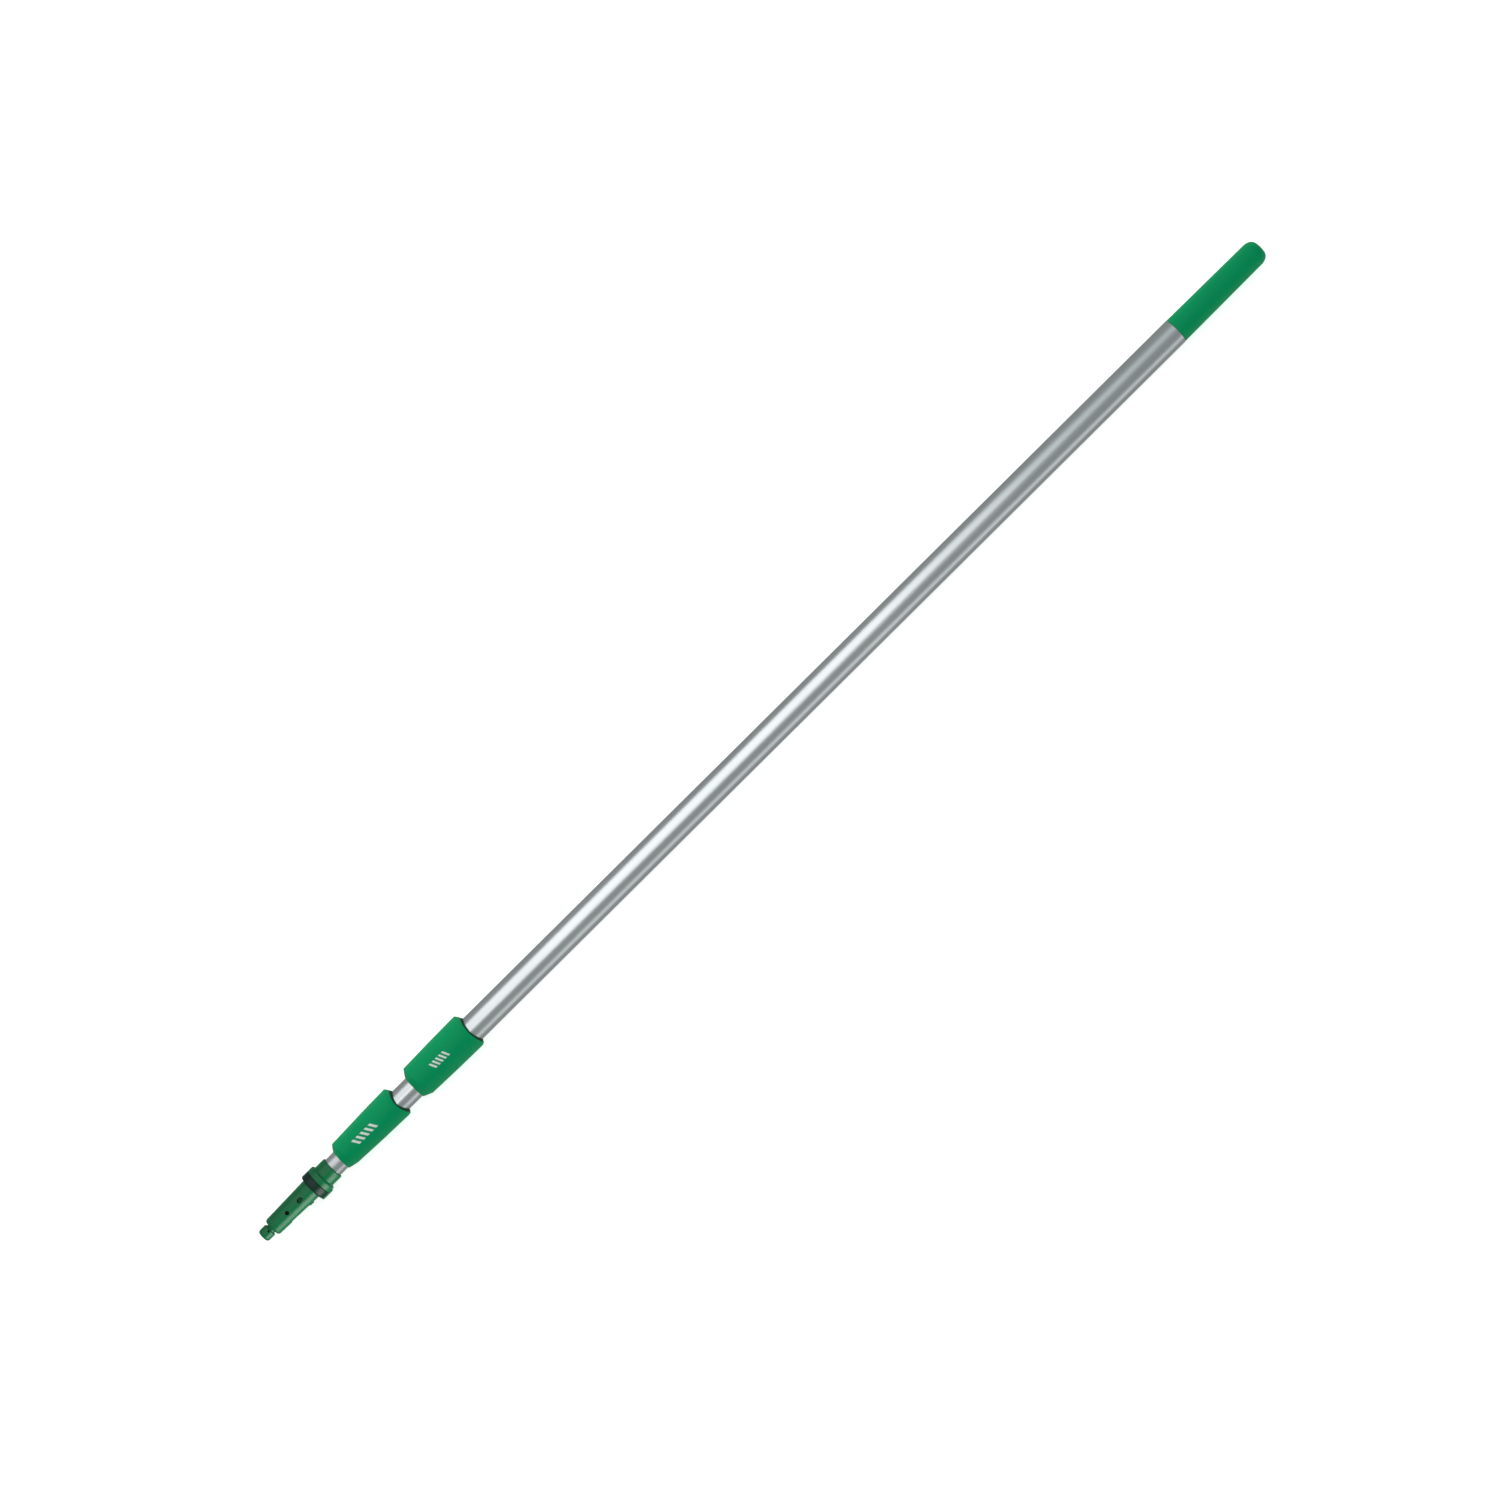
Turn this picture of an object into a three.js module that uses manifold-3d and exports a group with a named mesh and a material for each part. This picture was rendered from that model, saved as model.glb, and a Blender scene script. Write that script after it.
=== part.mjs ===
// A three-section telescopic pole for window cleaning, lying collapsed along X.
// The tool cone points to -X and the hand grip to +X; +Z is up and Z = 0 is the ground.
// Three aluminium tubes slide in each other. Each of the two joints is held by a twist clamp:
// a sleeve turned about the tubes pushes a brake shoe through a window in a fixed core.
// The cone at the tip takes a tool, which a spring latch inside the cone holds.
// Lengths are millimetres. Each piece is drawn along its own X, from the end nearer the tip.

import * as THREE from "three";
import { mergeVertices } from "three/addons/utils/BufferGeometryUtils.js";
import Module from "manifold-3d";

const wasm = await Module();
wasm.setup();

// ---- driving dimensions ----

const POLE_LENGTH = 1555.1;

const OUTER_TUBE_R = 15.75;
const MIDDLE_TUBE_R = 13.65;
const INNER_TUBE_R = 11.9;
const TUBE_WALL = 1.2;

// Clearances: parts that touch, parts that slide, heads and beads in a tube's bore, parts that
// turn, and ends that meet.
const SEAT_GAP = 0.3;
const SLIDE_GAP = 0.3;
const BORE_GAP = 0.15;
const TURN_GAP = 0.3;
const END_GAP = 0.3;

// Nose knob and cone.
const KNOB_LENGTH = 11.9;
const KNOB_R = 7.8;
const KNOB_EDGE = 3;
const KNOB_HOLE_PLACE = 9.8;
const KNOB_HOLE_R = 1.3;
const NECK_LENGTH = 2.2;
const NECK_R = 5.6;
const NOSE_STEM_R = 4;
const NOSE_STEM_LENGTH = 14;
const CONE_LENGTH = 62;
const CONE_FRONT_R = 10.85;
const CONE_REAR_R = 12.7;
const CONE_EDGE = 3.2;
const SPIGOT_LENGTH = 72;
const SPIGOT_BORE_R = 7.5;
const SPIGOT_BORE_DEPTH = 52;

// Stop ring, rim and pommel behind the cone.
const RING_WIDTH = 10;
const RING_R = 16.9;
const RING_EDGE = 2.2;
const RING_RECESS = 0.6;
const RIM_WIDTH = 8;
const TUBE_INTO_RIM = 1;
const POMMEL_LENGTH = 14.4;
const POMMEL_R = 13.85;
const POMMEL_EDGE = 1.2;

// Latch inside the cone, measured from the cone's front face.
const PIVOT_PLACE = 25;
const PIVOT_PIN_R = 2.1;
const PIVOT_PIN_RECESS = 1.4;
const POCKET_PLACE = 45;
const POCKET_LENGTH = 7.6;
const POCKET_WIDTH = 5.4;
const POCKET_DEPTH = 3;
const LEVER_EYE_R = 4;
const LEVER_HALF_WIDTH = 4;
const LEVER_ARM_TOP = 9.5;
const LEVER_ARM_THICKNESS = 4.5;
const LEVER_EYE_FROM = THREE.MathUtils.degToRad(18);
const LEVER_EYE_TO = THREE.MathUtils.degToRad(252);
const LEVER_EYE_CLEAR = 0.2;
const EYE_ROOM = 0.6;
const ARM_ROOM = 0.8;
const NIB_LENGTH = 8;
const NIB_BEFORE_RING = 9;
const NIB_PROUD = 0.5;
const BUTTON_PROUD = 1.3;
const BUTTON_EDGE = 1.6;
const BUTTON_TRAVEL = 1.6;
const BUTTON_INTO_RIM = 4.8;
const SPRING_R = 2.4;
const SPRING_WIRE_R = 0.35;
const SPRING_TURNS = 4;
const SPRING_SEAT_DEPTH = 3;
const SPRING_ROOM = 0.7;
const SPRING_WELL = 8;

// Twist clamps. Each sleeve's outside is off centre from the tubes by the same amount.
const SLEEVE_ASIDE = 1.8;
const SHOULDER_LENGTH = 1.5;
const SHOULDER_DROP = 0.5;
const TAIL_BEVEL_LENGTH = 3.5;
const TAIL_LIP = 0.5;
const CAP_REACH = 1.5;
const CAP_LIP = 0.6;
const GUIDE_LENGTH = 36;
const LIP_EDGE = 0.8;
const LIP_GAP = 0.5;
const WIPER_LENGTH = 3;
const WIPER_THICKNESS = 0.8;
const SHOE_LENGTH = 18;
const SHOE_HALF_WIDTH = 6;
const SHOE_PLACE = 8;
const SHOE_TRAVEL = 0.8;
const TWIST_ANGLE = THREE.MathUtils.degToRad(100);
const CAM_MARGIN = THREE.MathUtils.degToRad(28);
const CAM_EDGE = 0.1;
const CAM_CUT_BELOW = 1;
const STEP_BEFORE_SHOULDER = 4;
const RETAINER_WIDTH = 1.6;
const RETAINER_BITE = 0.9;
const RETAINER_REACH = 0.6;
const RETAINER_OPENING = THREE.MathUtils.degToRad(24);
const REAR_RECESS = 3;
const REAR_LAND = 5;
const PIN_R = 1.5;
const PIN_RECESS = 0.1;
const PIN_SHORT = 0.4;
const PIN_THROUGH = 0.7;
const PIN_FROM_SHOULDER = 12;

// What differs between the clamp on the middle tube and the one on the outer tube.
const FRONT_CLAMP_SHAPE = {
  place: 122.1,
  length: 93,
  coreWallFront: 1.9,
  coreWallRear: 1.5,
  sleeveWallFront: 1.2,
  sleeveWallRear: 1.5,
  midSwell: 0.35,
  bevelShort: 4.4,
  bevelLong: 11,
  scoop: 4.7,
};
const REAR_CLAMP_SHAPE = {
  place: 236.1,
  length: 91,
  coreWallFront: 2.2,
  coreWallRear: 1.6,
  sleeveWallFront: 2.75,
  sleeveWallRear: 1.95,
  midSwell: 0.35,
  bevelShort: 5.5,
  bevelLong: 10,
  scoop: 3.1,
};

// Tails of the two sliding tubes.
const BUSH_HEAD = 10;
const BUSH_PLUG = 18;
const BUSH_WALL = 4.2;
const BUSH_EDGE = 1;
const BUSH_BLIND_WALL = 1.4;
const BUSH_PIN_PLACE = 9;
const BEAD_PLACE = 90;
const BEAD_LENGTH = 4;
const BEAD_RAMP = 2;

// Hand grip.
const GRIP_LENGTH = 131;
const GRIP_FRONT_R = 15.5;
const GRIP_REAR_R = 14.75;
const GRIP_DOME = 13;
const GRIP_WALL = 3.2;
const GRIP_SPIGOT = 22;
const GRIP_PIN_PLACE = 11;

// How finely round shapes are cut.
const ROUND = 32;
const SMALL_ROUND = 12;
const EDGE_STEPS = 2;
const DOME_STEPS = 8;
const COIL_STEPS = 14;

// ---- values worked out from the above ----

const outerBoreR = OUTER_TUBE_R - TUBE_WALL;
const middleBoreR = MIDDLE_TUBE_R - TUBE_WALL;
const innerBoreR = INNER_TUBE_R - TUBE_WALL;

const coneStart = KNOB_LENGTH + NECK_LENGTH;
const coneEnd = coneStart + CONE_LENGTH;
const ringStart = coneEnd + END_GAP;
const rimStart = ringStart + RING_WIDTH + END_GAP;
const pommelStart = rimStart + RIM_WIDTH;
const pommelEnd = pommelStart + POMMEL_LENGTH;
const innerTubeStart = pommelStart - TUBE_INTO_RIM + END_GAP;
const spigotR = innerBoreR - SEAT_GAP;
const latchSlotEnd = innerTubeStart - END_GAP;
const latchPivot = coneStart + PIVOT_PLACE;
const leverEnd = latchSlotEnd - latchPivot - 2 * END_GAP;
const nibEnd = CONE_LENGTH - PIVOT_PLACE - NIB_BEFORE_RING;

const frontClamp = clampSizes(FRONT_CLAMP_SHAPE, MIDDLE_TUBE_R, INNER_TUBE_R);
const rearClamp = clampSizes(REAR_CLAMP_SHAPE, OUTER_TUBE_R, MIDDLE_TUBE_R);

const gripStart = POLE_LENGTH - GRIP_LENGTH;
const outerTubeStart = rearClamp.place + rearClamp.shoulder + END_GAP;
const outerTubeEnd = gripStart - END_GAP;
const gripSpigotStart = outerTubeEnd - GRIP_SPIGOT;
const middleBushEnd = gripSpigotStart - END_GAP;
const middleTubeStart = frontClamp.place + frontClamp.shoulder + END_GAP;
const middleTubeEnd = middleBushEnd - BUSH_HEAD - END_GAP;
const innerBushEnd = middleTubeEnd - BUSH_PLUG - END_GAP;
const innerTubeEnd = innerBushEnd - BUSH_HEAD - END_GAP;

const axisHeight = rearClamp.sleeveRearR;

// Every size of one clamp, from its own shape and the two tubes it joins.
function clampSizes(shape, fixedTubeR, slidingTubeR) {
  const guideR = slidingTubeR + SLIDE_GAP;
  const socketR = fixedTubeR + SEAT_GAP;
  const frontJournalR = guideR + shape.coreWallFront;
  const rearJournalR = socketR + shape.coreWallRear;
  const frontBoreR = frontJournalR + TURN_GAP;
  const rearBoreR = rearJournalR + TURN_GAP;
  const retainerR = rearBoreR + RETAINER_REACH;
  const rearRecessR = retainerR + TURN_GAP;
  const coreFront = shape.bevelLong + END_GAP;
  const shoulder = coreFront + GUIDE_LENGTH;
  const coreRear = shape.length - shape.scoop - REAR_RECESS;
  return {
    ...shape,
    fixedTubeR,
    slidingTubeR,
    guideR,
    socketR,
    frontJournalR,
    rearJournalR,
    frontBoreR,
    rearBoreR,
    retainerR,
    rearRecessR,
    coreFront,
    shoulder,
    coreRear,
    sleeveEnd: shape.length - CAP_REACH,
    coreStep: shoulder - STEP_BEFORE_SHOULDER,
    retainerFront: coreRear - REAR_LAND,
    lipR: slidingTubeR + LIP_GAP,
    sleeveFrontR: frontBoreR + shape.sleeveWallFront + SLEEVE_ASIDE,
    sleeveRearR: rearRecessR + shape.sleeveWallRear + SLEEVE_ASIDE,
    shoeFrom: coreFront + SHOE_PLACE,
    shoeTo: coreFront + SHOE_PLACE + SHOE_LENGTH,
    pinPlace: shoulder + PIN_FROM_SHOULDER,
  };
}

// ---- materials ----

function anodisedAluminium() {
  return new THREE.MeshStandardMaterial({ color: 0xc4cacd, roughness: 0.32, metalness: 0.9 });
}

function greenPlastic() {
  return new THREE.MeshStandardMaterial({ color: 0x028a52, roughness: 0.42, metalness: 0 });
}

function darkGreenPlastic() {
  return new THREE.MeshStandardMaterial({ color: 0x04603a, roughness: 0.45, metalness: 0 });
}

function blackPlastic() {
  return new THREE.MeshStandardMaterial({ color: 0x1c2322, roughness: 0.55, metalness: 0 });
}

function blackRubber() {
  return new THREE.MeshStandardMaterial({ color: 0x0b1512, roughness: 0.7, metalness: 0 });
}

function greyPlastic() {
  return new THREE.MeshStandardMaterial({ color: 0x8c9490, roughness: 0.5, metalness: 0 });
}

function brightSteel() {
  return new THREE.MeshStandardMaterial({ color: 0xb4b8ba, roughness: 0.3, metalness: 0.95 });
}

// ---- closed shapes ----

// The geometry with its shared corners merged, empty triangles dropped and faces turned outward.
function closed(geometry) {
  const bare = geometry.clone();
  bare.deleteAttribute("normal");
  bare.deleteAttribute("uv");
  const merged = mergeVertices(bare, 1e-4);
  const position = merged.attributes.position;
  const corners = merged.index.array;
  const kept = [];
  const [a, b, c] = [new THREE.Vector3(), new THREE.Vector3(), new THREE.Vector3()];
  let volume = 0;
  for (let i = 0; i < corners.length; i += 3) {
    const [p, q, r] = [corners[i], corners[i + 1], corners[i + 2]];
    if (p === q || q === r || r === p) continue;
    kept.push(p, q, r);
    a.fromBufferAttribute(position, p);
    b.fromBufferAttribute(position, q);
    c.fromBufferAttribute(position, r);
    volume += a.dot(b.cross(c));
  }
  if (volume < 0) kept.reverse();
  merged.setIndex(kept);
  return merged;
}

function toSolid(geometry) {
  const whole = closed(geometry);
  return new wasm.Manifold(
    new wasm.Mesh({
      numProp: 3,
      vertProperties: new Float32Array(whole.attributes.position.array),
      triVerts: new Uint32Array(whole.index.array),
    }),
  );
}

function fromSolid(solid) {
  const { vertProperties, triVerts } = solid.getMesh();
  const geometry = new THREE.BufferGeometry();
  geometry.setAttribute("position", new THREE.BufferAttribute(vertProperties, 3));
  geometry.setIndex(new THREE.BufferAttribute(triVerts, 1));
  return geometry;
}

function cut(geometry, ...tools) {
  return fromSolid(tools.reduce((solid, tool) => solid.subtract(toSolid(tool)), toSolid(geometry)));
}

function keepInside(geometry, tool) {
  return fromSolid(toSolid(geometry).intersect(toSolid(tool)));
}

// A shape turned about X. The outline holds [x, radius] pairs and starts and ends on the axis.
function turned(outline, segments = ROUND) {
  const points = outline.map(([x, r]) => new THREE.Vector2(r, x));
  const geometry = new THREE.LatheGeometry(points, segments);
  geometry.rotateZ(-Math.PI / 2);
  return closed(geometry);
}

// The same for a hollow shape: the outline runs round the wall and closes on its first point.
function turnedWall(outline, segments = ROUND) {
  return turned([...outline, outline[0]], segments);
}

// A turned wall whose rings can be set aside in Y, lean to one side or scoop in above and below.
function turnedAskew(rings) {
  const loop = [...rings, rings[0]];
  const points = loop.map(({ x, r }) => new THREE.Vector2(r, x));
  const geometry = new THREE.LatheGeometry(points, ROUND);
  geometry.rotateZ(-Math.PI / 2);
  const position = geometry.attributes.position;
  for (let i = 0; i < position.count; i += 1) {
    const { aside = 0, lean = 0, scoop = 0 } = loop[i % loop.length];
    const side = position.getY(i) / Math.hypot(position.getY(i), position.getZ(i));
    position.setX(i, position.getX(i) - lean * side - scoop * (1 - side * side));
    position.setY(i, position.getY(i) + aside);
  }
  return closed(geometry);
}

// A quarter round from one outline point to another, bulging towards the corner between them.
function quarter(from, corner, to) {
  const points = [];
  for (let i = 0; i <= EDGE_STEPS; i += 1) {
    const angle = (i / EDGE_STEPS) * (Math.PI / 2);
    const [s, c] = [1 - Math.cos(angle), Math.sin(angle)];
    points.push([0, 1].map((k) => from[k] + (corner[k] - from[k]) * c + (to[k] - corner[k]) * s));
  }
  return points;
}

function boxBetween(low, high) {
  const size = high.map((value, i) => value - low[i]);
  const middle = high.map((value, i) => (value + low[i]) / 2);
  return new THREE.BoxGeometry(...size).translate(...middle);
}

// A shape drawn in Y and Z, pushed along X.
function pushedAlongX(shape, from, length, curveSegments = ROUND / 2) {
  const options = { depth: length, bevelEnabled: false, curveSegments };
  const geometry = new THREE.ExtrudeGeometry(shape, options);
  const [x, y, z] = [0, 1, 2].map((i) => new THREE.Vector3().setComponent(i, 1));
  geometry.applyMatrix4(new THREE.Matrix4().makeBasis(y, z, x));
  return geometry.translate(from, 0, 0);
}

// A round bar along Z between two heights.
function uprightBar(radius, x, low, high) {
  const geometry = new THREE.CylinderGeometry(radius, radius, high - low, SMALL_ROUND);
  return geometry.rotateX(Math.PI / 2).translate(x, 0, (low + high) / 2);
}

function piece(name, geometry, material) {
  const mesh = new THREE.Mesh(geometry, material);
  mesh.name = name;
  return mesh;
}

function groupAt(x, ...members) {
  const group = new THREE.Group();
  group.position.x = x;
  group.add(...members);
  return group;
}

// ---- tubes ----

function plainTubeOutline(radius, length) {
  const bore = radius - TUBE_WALL;
  return [[0, bore], [length, bore], [length, radius], [0, radius]];
}

// A tube with a rolled bead near its tail. The bead meets the clamp core at full stretch.
function beadedTubeOutline(radius, beadR, length) {
  const bore = radius - TUBE_WALL;
  const rise = beadR - radius;
  const from = length - BEAD_PLACE;
  const to = from + BEAD_LENGTH;
  const bead = [[from - BEAD_RAMP, 0], [from, rise], [to, rise], [to + BEAD_RAMP, 0]];
  const inside = bead.map(([x, up]) => [x, bore + up]);
  const outside = bead.map(([x, up]) => [x, radius + up]).reverse();
  return [[0, bore], ...inside, [length, bore], [length, radius], ...outside, [0, radius]];
}

function outerTube() {
  const length = outerTubeEnd - outerTubeStart;
  const tube = turnedWall(plainTubeOutline(OUTER_TUBE_R, length));
  const clampPins = rearClamp.pinPlace - rearClamp.shoulder - END_GAP;
  const through = uprightBar(PIN_R + SEAT_GAP, clampPins, -2 * OUTER_TUBE_R, 2 * OUTER_TUBE_R);
  const gripHole = uprightBar(PIN_R + SEAT_GAP, length - GRIP_PIN_PLACE, -2 * OUTER_TUBE_R, 0);
  return piece("outer_tube", cut(tube, through, gripHole), anodisedAluminium());
}

function middleTube() {
  const length = middleTubeEnd - middleTubeStart;
  const beadR = outerBoreR - BORE_GAP;
  const tube = turnedWall(beadedTubeOutline(MIDDLE_TUBE_R, beadR, length));
  const clampPins = frontClamp.pinPlace - frontClamp.shoulder - END_GAP;
  const through = uprightBar(PIN_R + SEAT_GAP, clampPins, -2 * MIDDLE_TUBE_R, 2 * MIDDLE_TUBE_R);
  const bushHole = uprightBar(PIN_R + SEAT_GAP, length - BUSH_PIN_PLACE, -2 * MIDDLE_TUBE_R, 0);
  return piece("middle_tube", cut(tube, through, bushHole), anodisedAluminium());
}

function innerTube() {
  const length = innerTubeEnd - innerTubeStart;
  const beadR = middleBoreR - BORE_GAP;
  const tube = turnedWall(beadedTubeOutline(INNER_TUBE_R, beadR, length));
  const coneHole = uprightBar(PIN_R + SEAT_GAP, conePinPlace() - innerTubeStart, -2 * INNER_TUBE_R, 0);
  const bushHole = uprightBar(PIN_R + SEAT_GAP, length - BUSH_PIN_PLACE, -2 * INNER_TUBE_R, 0);
  return piece("inner_tube", cut(tube, coneHole, bushHole), anodisedAluminium());
}

// ---- bushes at the tube tails ----

// A plug in the tube's tail with a head as wide as the next tube's bore allows.
function rearBush(name, tubeR, outerBore) {
  const plugR = tubeR - TUBE_WALL - SEAT_GAP;
  const headR = outerBore - BORE_GAP;
  const bore = plugR - BUSH_WALL;
  const head = BUSH_PLUG + END_GAP;
  const end = head + BUSH_HEAD;
  const outline = [
    [0, bore],
    [end, bore],
    [end, headR - BUSH_EDGE],
    [end - BUSH_EDGE, headR],
    [head + BUSH_EDGE, headR],
    [head, headR - BUSH_EDGE],
    [head, plugR],
    [0, plugR],
  ];
  const holeEnd = -bore - BUSH_BLIND_WALL;
  const pinHole = uprightBar(PIN_R + SEAT_GAP, BUSH_PLUG - BUSH_PIN_PLACE, -2 * tubeR, holeEnd);
  return piece(name, cut(turnedWall(outline), pinHole), greyPlastic());
}

// The pin that holds a bush: flush with the tube and blind in the bush.
function bushPin(name, tubeR) {
  const bore = tubeR - TUBE_WALL - SEAT_GAP - BUSH_WALL;
  const low = -tubeR + PIN_RECESS;
  const high = -bore - BUSH_BLIND_WALL - SEAT_GAP;
  return piece(name, uprightBar(PIN_R, BUSH_PLUG - BUSH_PIN_PLACE, low, high), brightSteel());
}

// ---- twist clamps ----

function clampCore(name, c) {
  const wiperSeatR = c.guideR + WIPER_THICKNESS + SEAT_GAP;
  const wiperSeat = c.coreFront + WIPER_LENGTH + 2 * END_GAP;
  const grooveR = c.rearJournalR - RETAINER_BITE;
  const grooveEnd = c.retainerFront + RETAINER_WIDTH + 2 * END_GAP;
  const outline = [
    [c.coreFront, wiperSeatR],
    [wiperSeat, wiperSeatR],
    [wiperSeat, c.guideR],
    [c.shoulder, c.guideR],
    [c.shoulder, c.socketR],
    [c.coreRear, c.socketR],
    [c.coreRear, c.rearJournalR],
    [grooveEnd, c.rearJournalR],
    [grooveEnd, grooveR],
    [c.retainerFront, grooveR],
    [c.retainerFront, c.rearJournalR],
    [c.coreStep, c.rearJournalR],
    [c.coreStep, c.frontJournalR],
    [c.coreFront, c.frontJournalR],
  ];
  const window = boxBetween(
    [c.shoeFrom - SLIDE_GAP, 0, -SHOE_HALF_WIDTH - SLIDE_GAP],
    [c.shoeTo + SLIDE_GAP, 2 * c.frontJournalR, SHOE_HALF_WIDTH + SLIDE_GAP],
  );
  const reach = 2 * c.rearJournalR;
  const pinHoles = uprightBar(PIN_R + SEAT_GAP, c.pinPlace, -reach, reach);
  return piece(name, cut(turnedWall(outline), window, pinHoles), blackPlastic());
}

// The hollow that the shoe backs into: its depth grows evenly as the sleeve turns to open.
function camHollow(c) {
  const shape = new THREE.Shape();
  const steps = ROUND / 2;
  for (let i = 0; i <= steps; i += 1) {
    const angle = CAM_MARGIN - (i / steps) * (TWIST_ANGLE + 2 * CAM_MARGIN);
    const rise = Math.max(0, -angle / TWIST_ANGLE) * SHOE_TRAVEL;
    const r = c.frontBoreR + CAM_EDGE + rise;
    const place = [r * Math.cos(angle), r * Math.sin(angle)];
    if (i === 0) shape.moveTo(...place);
    else shape.lineTo(...place);
  }
  for (let i = steps; i >= 0; i -= 1) {
    const angle = CAM_MARGIN - (i / steps) * (TWIST_ANGLE + 2 * CAM_MARGIN);
    const r = c.frontBoreR - CAM_CUT_BELOW;
    shape.lineTo(r * Math.cos(angle), r * Math.sin(angle));
  }
  shape.closePath();
  return pushedAlongX(shape, c.shoeFrom - TURN_GAP, SHOE_LENGTH + 2 * TURN_GAP);
}

function clampSleeve(name, c) {
  const aside = SLEEVE_ASIDE;
  const bevel = (c.bevelShort + c.bevelLong) / 2;
  const lean = (c.bevelLong - c.bevelShort) / 2;
  const middle = (bevel + c.length) / 2;
  const middleR = (c.sleeveFrontR + c.sleeveRearR) / 2 + c.midSwell;
  const boreStep = c.coreStep - END_GAP;
  const retainerSeat = c.retainerFront;
  const sleeve = turnedAskew([
    { x: 0, r: c.lipR },
    { x: c.bevelLong, r: c.lipR },
    { x: c.bevelLong, r: c.frontBoreR },
    { x: boreStep, r: c.frontBoreR },
    { x: boreStep, r: c.rearBoreR },
    { x: retainerSeat, r: c.rearBoreR },
    { x: retainerSeat, r: c.rearRecessR },
    { x: c.sleeveEnd, r: c.rearRecessR, scoop: c.scoop },
    { x: c.sleeveEnd, r: c.rearRecessR + TAIL_LIP, scoop: c.scoop },
    { x: c.sleeveEnd - TAIL_BEVEL_LENGTH, r: c.sleeveRearR, aside, scoop: c.scoop },
    { x: middle, r: middleR, aside },
    { x: bevel + SHOULDER_LENGTH, r: c.sleeveFrontR, aside, lean },
    { x: bevel, r: c.sleeveFrontR - SHOULDER_DROP, aside, lean },
    { x: 0, r: c.lipR + LIP_EDGE },
  ]);
  return piece(name, cut(sleeve, camHollow(c)), greenPlastic());
}

// A bevelled ring snapped into the sleeve's tail. It closes the tail down to the tube.
function endCap(name, c) {
  const scoop = c.scoop;
  const bore = c.fixedTubeR + LIP_GAP;
  const outside = c.rearRecessR - SEAT_GAP;
  const front = c.coreRear + c.scoop + END_GAP;
  const cap = turnedAskew([
    { x: front, r: bore, scoop },
    { x: c.length, r: bore, scoop },
    { x: c.length, r: bore + CAP_LIP, scoop },
    { x: c.sleeveEnd, r: outside, scoop },
    { x: front, r: outside, scoop },
  ]);
  return piece(name, cap, blackPlastic());
}

function brakeShoe(name, c) {
  const ring = turnedWall([
    [c.shoeFrom, c.guideR],
    [c.shoeTo, c.guideR],
    [c.shoeTo, c.frontJournalR],
    [c.shoeFrom, c.frontJournalR],
  ]);
  const block = boxBetween(
    [c.shoeFrom, 0, -SHOE_HALF_WIDTH],
    [c.shoeTo, 2 * c.frontJournalR, SHOE_HALF_WIDTH],
  );
  return piece(name, keepInside(ring, block), greyPlastic());
}

// An open spring ring in the core's groove, behind the sleeve's inner shoulder.
function retainer(name, c) {
  const grooveR = c.rearJournalR - RETAINER_BITE + SEAT_GAP;
  const from = Math.PI / 2 + RETAINER_OPENING / 2;
  const to = Math.PI / 2 + 2 * Math.PI - RETAINER_OPENING / 2;
  const shape = new THREE.Shape();
  shape.absarc(0, 0, c.retainerR, from, to, false);
  shape.absarc(0, 0, grooveR, to, from, true);
  const ring = pushedAlongX(shape, c.retainerFront + END_GAP, RETAINER_WIDTH);
  return piece(name, closed(ring), brightSteel());
}

function wiper(name, c) {
  const from = c.coreFront + END_GAP;
  const outline = [
    [from, c.guideR],
    [from + WIPER_LENGTH, c.guideR],
    [from + WIPER_LENGTH, c.guideR + WIPER_THICKNESS],
    [from, c.guideR + WIPER_THICKNESS],
  ];
  return piece(name, turnedWall(outline), blackRubber());
}

// A pin through the core into the tube it sits on, on the upper (1) or lower (-1) side.
function clampPin(name, c, side) {
  const inner = side * (c.socketR - SEAT_GAP - TUBE_WALL + PIN_RECESS);
  const outer = side * (c.rearJournalR - PIN_RECESS);
  const [low, high] = [Math.min(inner, outer), Math.max(inner, outer)];
  return piece(name, uprightBar(PIN_R, c.pinPlace, low, high), brightSteel());
}

function clamp(prefix, c) {
  return groupAt(
    c.place,
    clampCore(`${prefix}_core`, c),
    clampSleeve(`${prefix}_sleeve`, c),
    endCap(`${prefix}_end_cap`, c),
    brakeShoe(`${prefix}_brake_shoe`, c),
    retainer(`${prefix}_retaining_ring`, c),
    wiper(`${prefix}_wiper_seal`, c),
    clampPin(`${prefix}_pin_upper`, c, 1),
    clampPin(`${prefix}_pin_lower`, c, -1),
  );
}

// ---- cone, stop ring and latch ----

function coneRadius(fromConeFront) {
  const share = (fromConeFront - CONE_EDGE) / (CONE_LENGTH - CONE_EDGE);
  return CONE_FRONT_R + (CONE_REAR_R - CONE_FRONT_R) * share;
}

function conePinPlace() {
  return (pommelStart + pommelEnd) / 2;
}

function noseKnob() {
  const stemFrom = KNOB_LENGTH + NECK_LENGTH - END_GAP;
  const stemTo = stemFrom + NOSE_STEM_LENGTH;
  const outline = [
    [0, 0],
    ...quarter([0, KNOB_R - KNOB_EDGE], [0, KNOB_R], [KNOB_EDGE, KNOB_R]),
    [KNOB_LENGTH - KNOB_EDGE / 2, KNOB_R],
    [KNOB_LENGTH, KNOB_R - KNOB_EDGE / 2],
    [KNOB_LENGTH, NECK_R],
    [stemFrom, NECK_R],
    [stemFrom, NOSE_STEM_R],
    [stemTo, NOSE_STEM_R],
    [stemTo, 0],
  ];
  const crossHole = uprightBar(KNOB_HOLE_R, KNOB_HOLE_PLACE, -2 * KNOB_R, 2 * KNOB_R);
  return piece("nose_knob", cut(turned(outline), crossHole), greenPlastic());
}

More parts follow.
